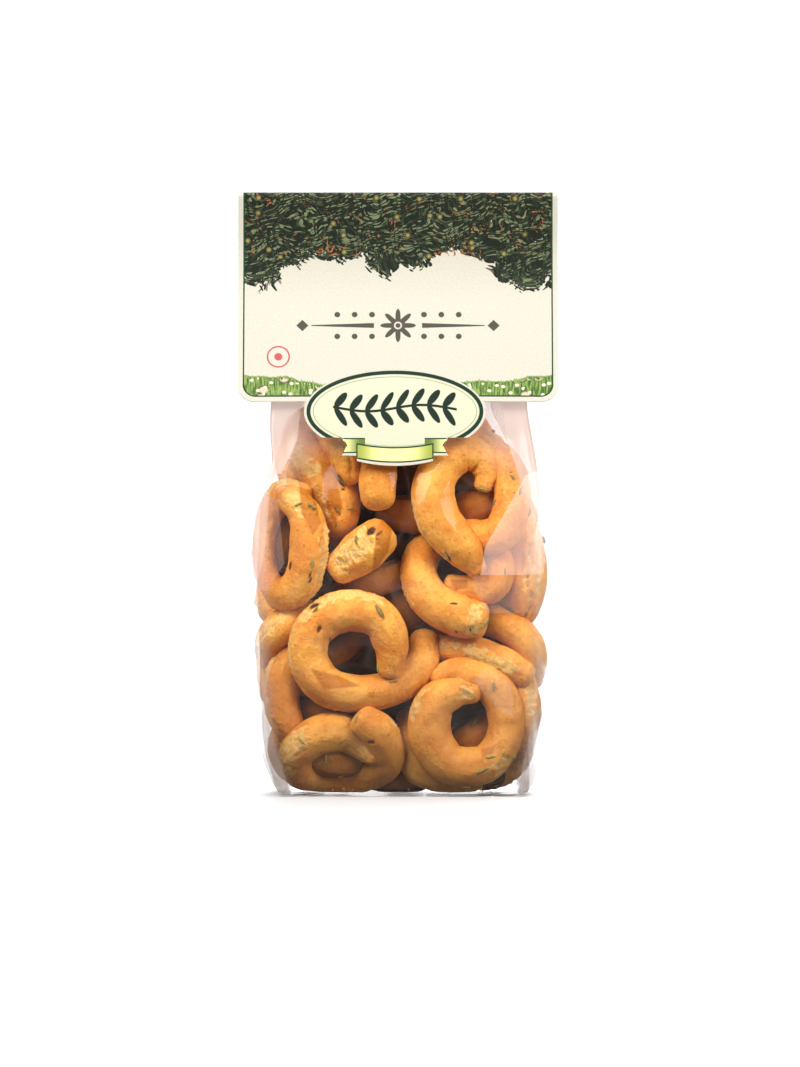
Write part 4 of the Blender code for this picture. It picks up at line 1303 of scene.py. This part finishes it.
floor_shape = bmesh.new()
profile = [(0.02, 0.0), (0.3, 0.0), (1.2, 0.0), (FLOOR_REACH, 0.0)]
profile += [(FLOOR_REACH + RIM_CURVE * math.sin(a), RIM_CURVE - RIM_CURVE * math.cos(a))
            for a in np.linspace(0.1, math.pi / 2, 14)]
profile.append((FLOOR_REACH + RIM_CURVE, RIM_TOP))
line = [floor_shape.verts.new((out, 0, up)) for out, up in profile]
rim = [floor_shape.edges.new(pair) for pair in zip(line, line[1:])]
bmesh.ops.spin(floor_shape, geom=line + rim, cent=(0, 0, 0), axis=(0, 0, 1), angle=math.tau, steps=72,
               use_merge=True)
hole = [edge for edge in floor_shape.edges if edge.is_boundary and edge.verts[0].co.length < 0.1]
bmesh.ops.edgeloop_fill(floor_shape, edges=hole)
for face in floor_shape.faces:
    face.smooth = True
bmesh.ops.recalc_face_normals(floor_shape, faces=floor_shape.faces)
floor_finish = Finish("pale_floor", {"Base Color": paint(196, 196, 196), "Roughness": 0.6})
across, deep, _ = floor_finish.axes(floor_finish.place())
# The floor glows, dim at the front and white towards the back, and much dimmer right round the pack: a
# painted shadow there
glow = 0.22 + deep.step(WHITE_FROM, WHITE_TO) * 0.85
away = (across**2.0 + deep * deep) ** 0.5
glow = glow.low(1.0) * (0.15 + away.step(0.03, 0.24) * 0.85)
floor_finish.set("Emission Color", floor_finish.mix(glow, paint(0, 0, 0), paint(255, 255, 255)))
floor_finish.set("Emission Strength", 1.0)
backdrop = new_piece("backdrop", floor_shape, floor_finish.material)
backdrop.visible_diffuse = False


def softbox(name, place, aim, size, power, colour=(1.0, 1.0, 1.0)):
    light = bpy.data.lights.new(name, "AREA")
    light.shape = "RECTANGLE"
    light.size, light.size_y = size
    light.energy, light.color = power, colour
    made = bpy.data.objects.new(name, light)
    made.location = place
    made.rotation_euler = (Vector(aim) - Vector(place)).to_track_quat("-Z", "Y").to_euler()
    bpy.context.scene.collection.objects.link(made)


softbox("key", (-0.85, -0.95, 1.25), (0, 0, 0.14), (1.1, 1.1), 39.0, (1.0, 0.985, 0.96))
softbox("fill", (1.0, -1.0, 0.85), (0, 0, 0.14), (0.8, 1.0), 22.0)
softbox("top", (0.1, -0.1, 1.2), (0, 0, 0.09), (0.9, 0.9), 6.0)
softbox("back", (0.3, 1.2, 0.9), (0, 0, 0.10), (1.2, 0.9), 30.0)

world = bpy.data.worlds.new("studio")
world.use_nodes = True
world.node_tree.nodes["Background"].inputs["Color"].default_value = (1.0, 1.0, 1.0, 1.0)
world.node_tree.nodes["Background"].inputs["Strength"].default_value = 0.10
bpy.context.scene.world = world
bpy.context.scene.cycles.transparent_max_bounces = 24

lens = bpy.data.cameras.new("camera")
camera = bpy.data.objects.new("camera", lens)
bpy.context.scene.collection.objects.link(camera)
aim = Vector(((IMAGE[0] / 2 - PACK_MIDDLE) * PIXEL, -0.01, (PACK_BASE - IMAGE[1] / 2) * PIXEL))
camera.location = aim + Vector((0, -math.cos(RISE), math.sin(RISE))) * DISTANCE
camera.rotation_euler = (aim - camera.location).to_track_quat("-Z", "Y").to_euler()
lens.sensor_fit = "VERTICAL"
lens.lens = lens.sensor_height / (IMAGE[1] * PIXEL) * DISTANCE
bpy.context.scene.camera = camera
bpy.context.scene.view_settings.view_transform = "Standard"
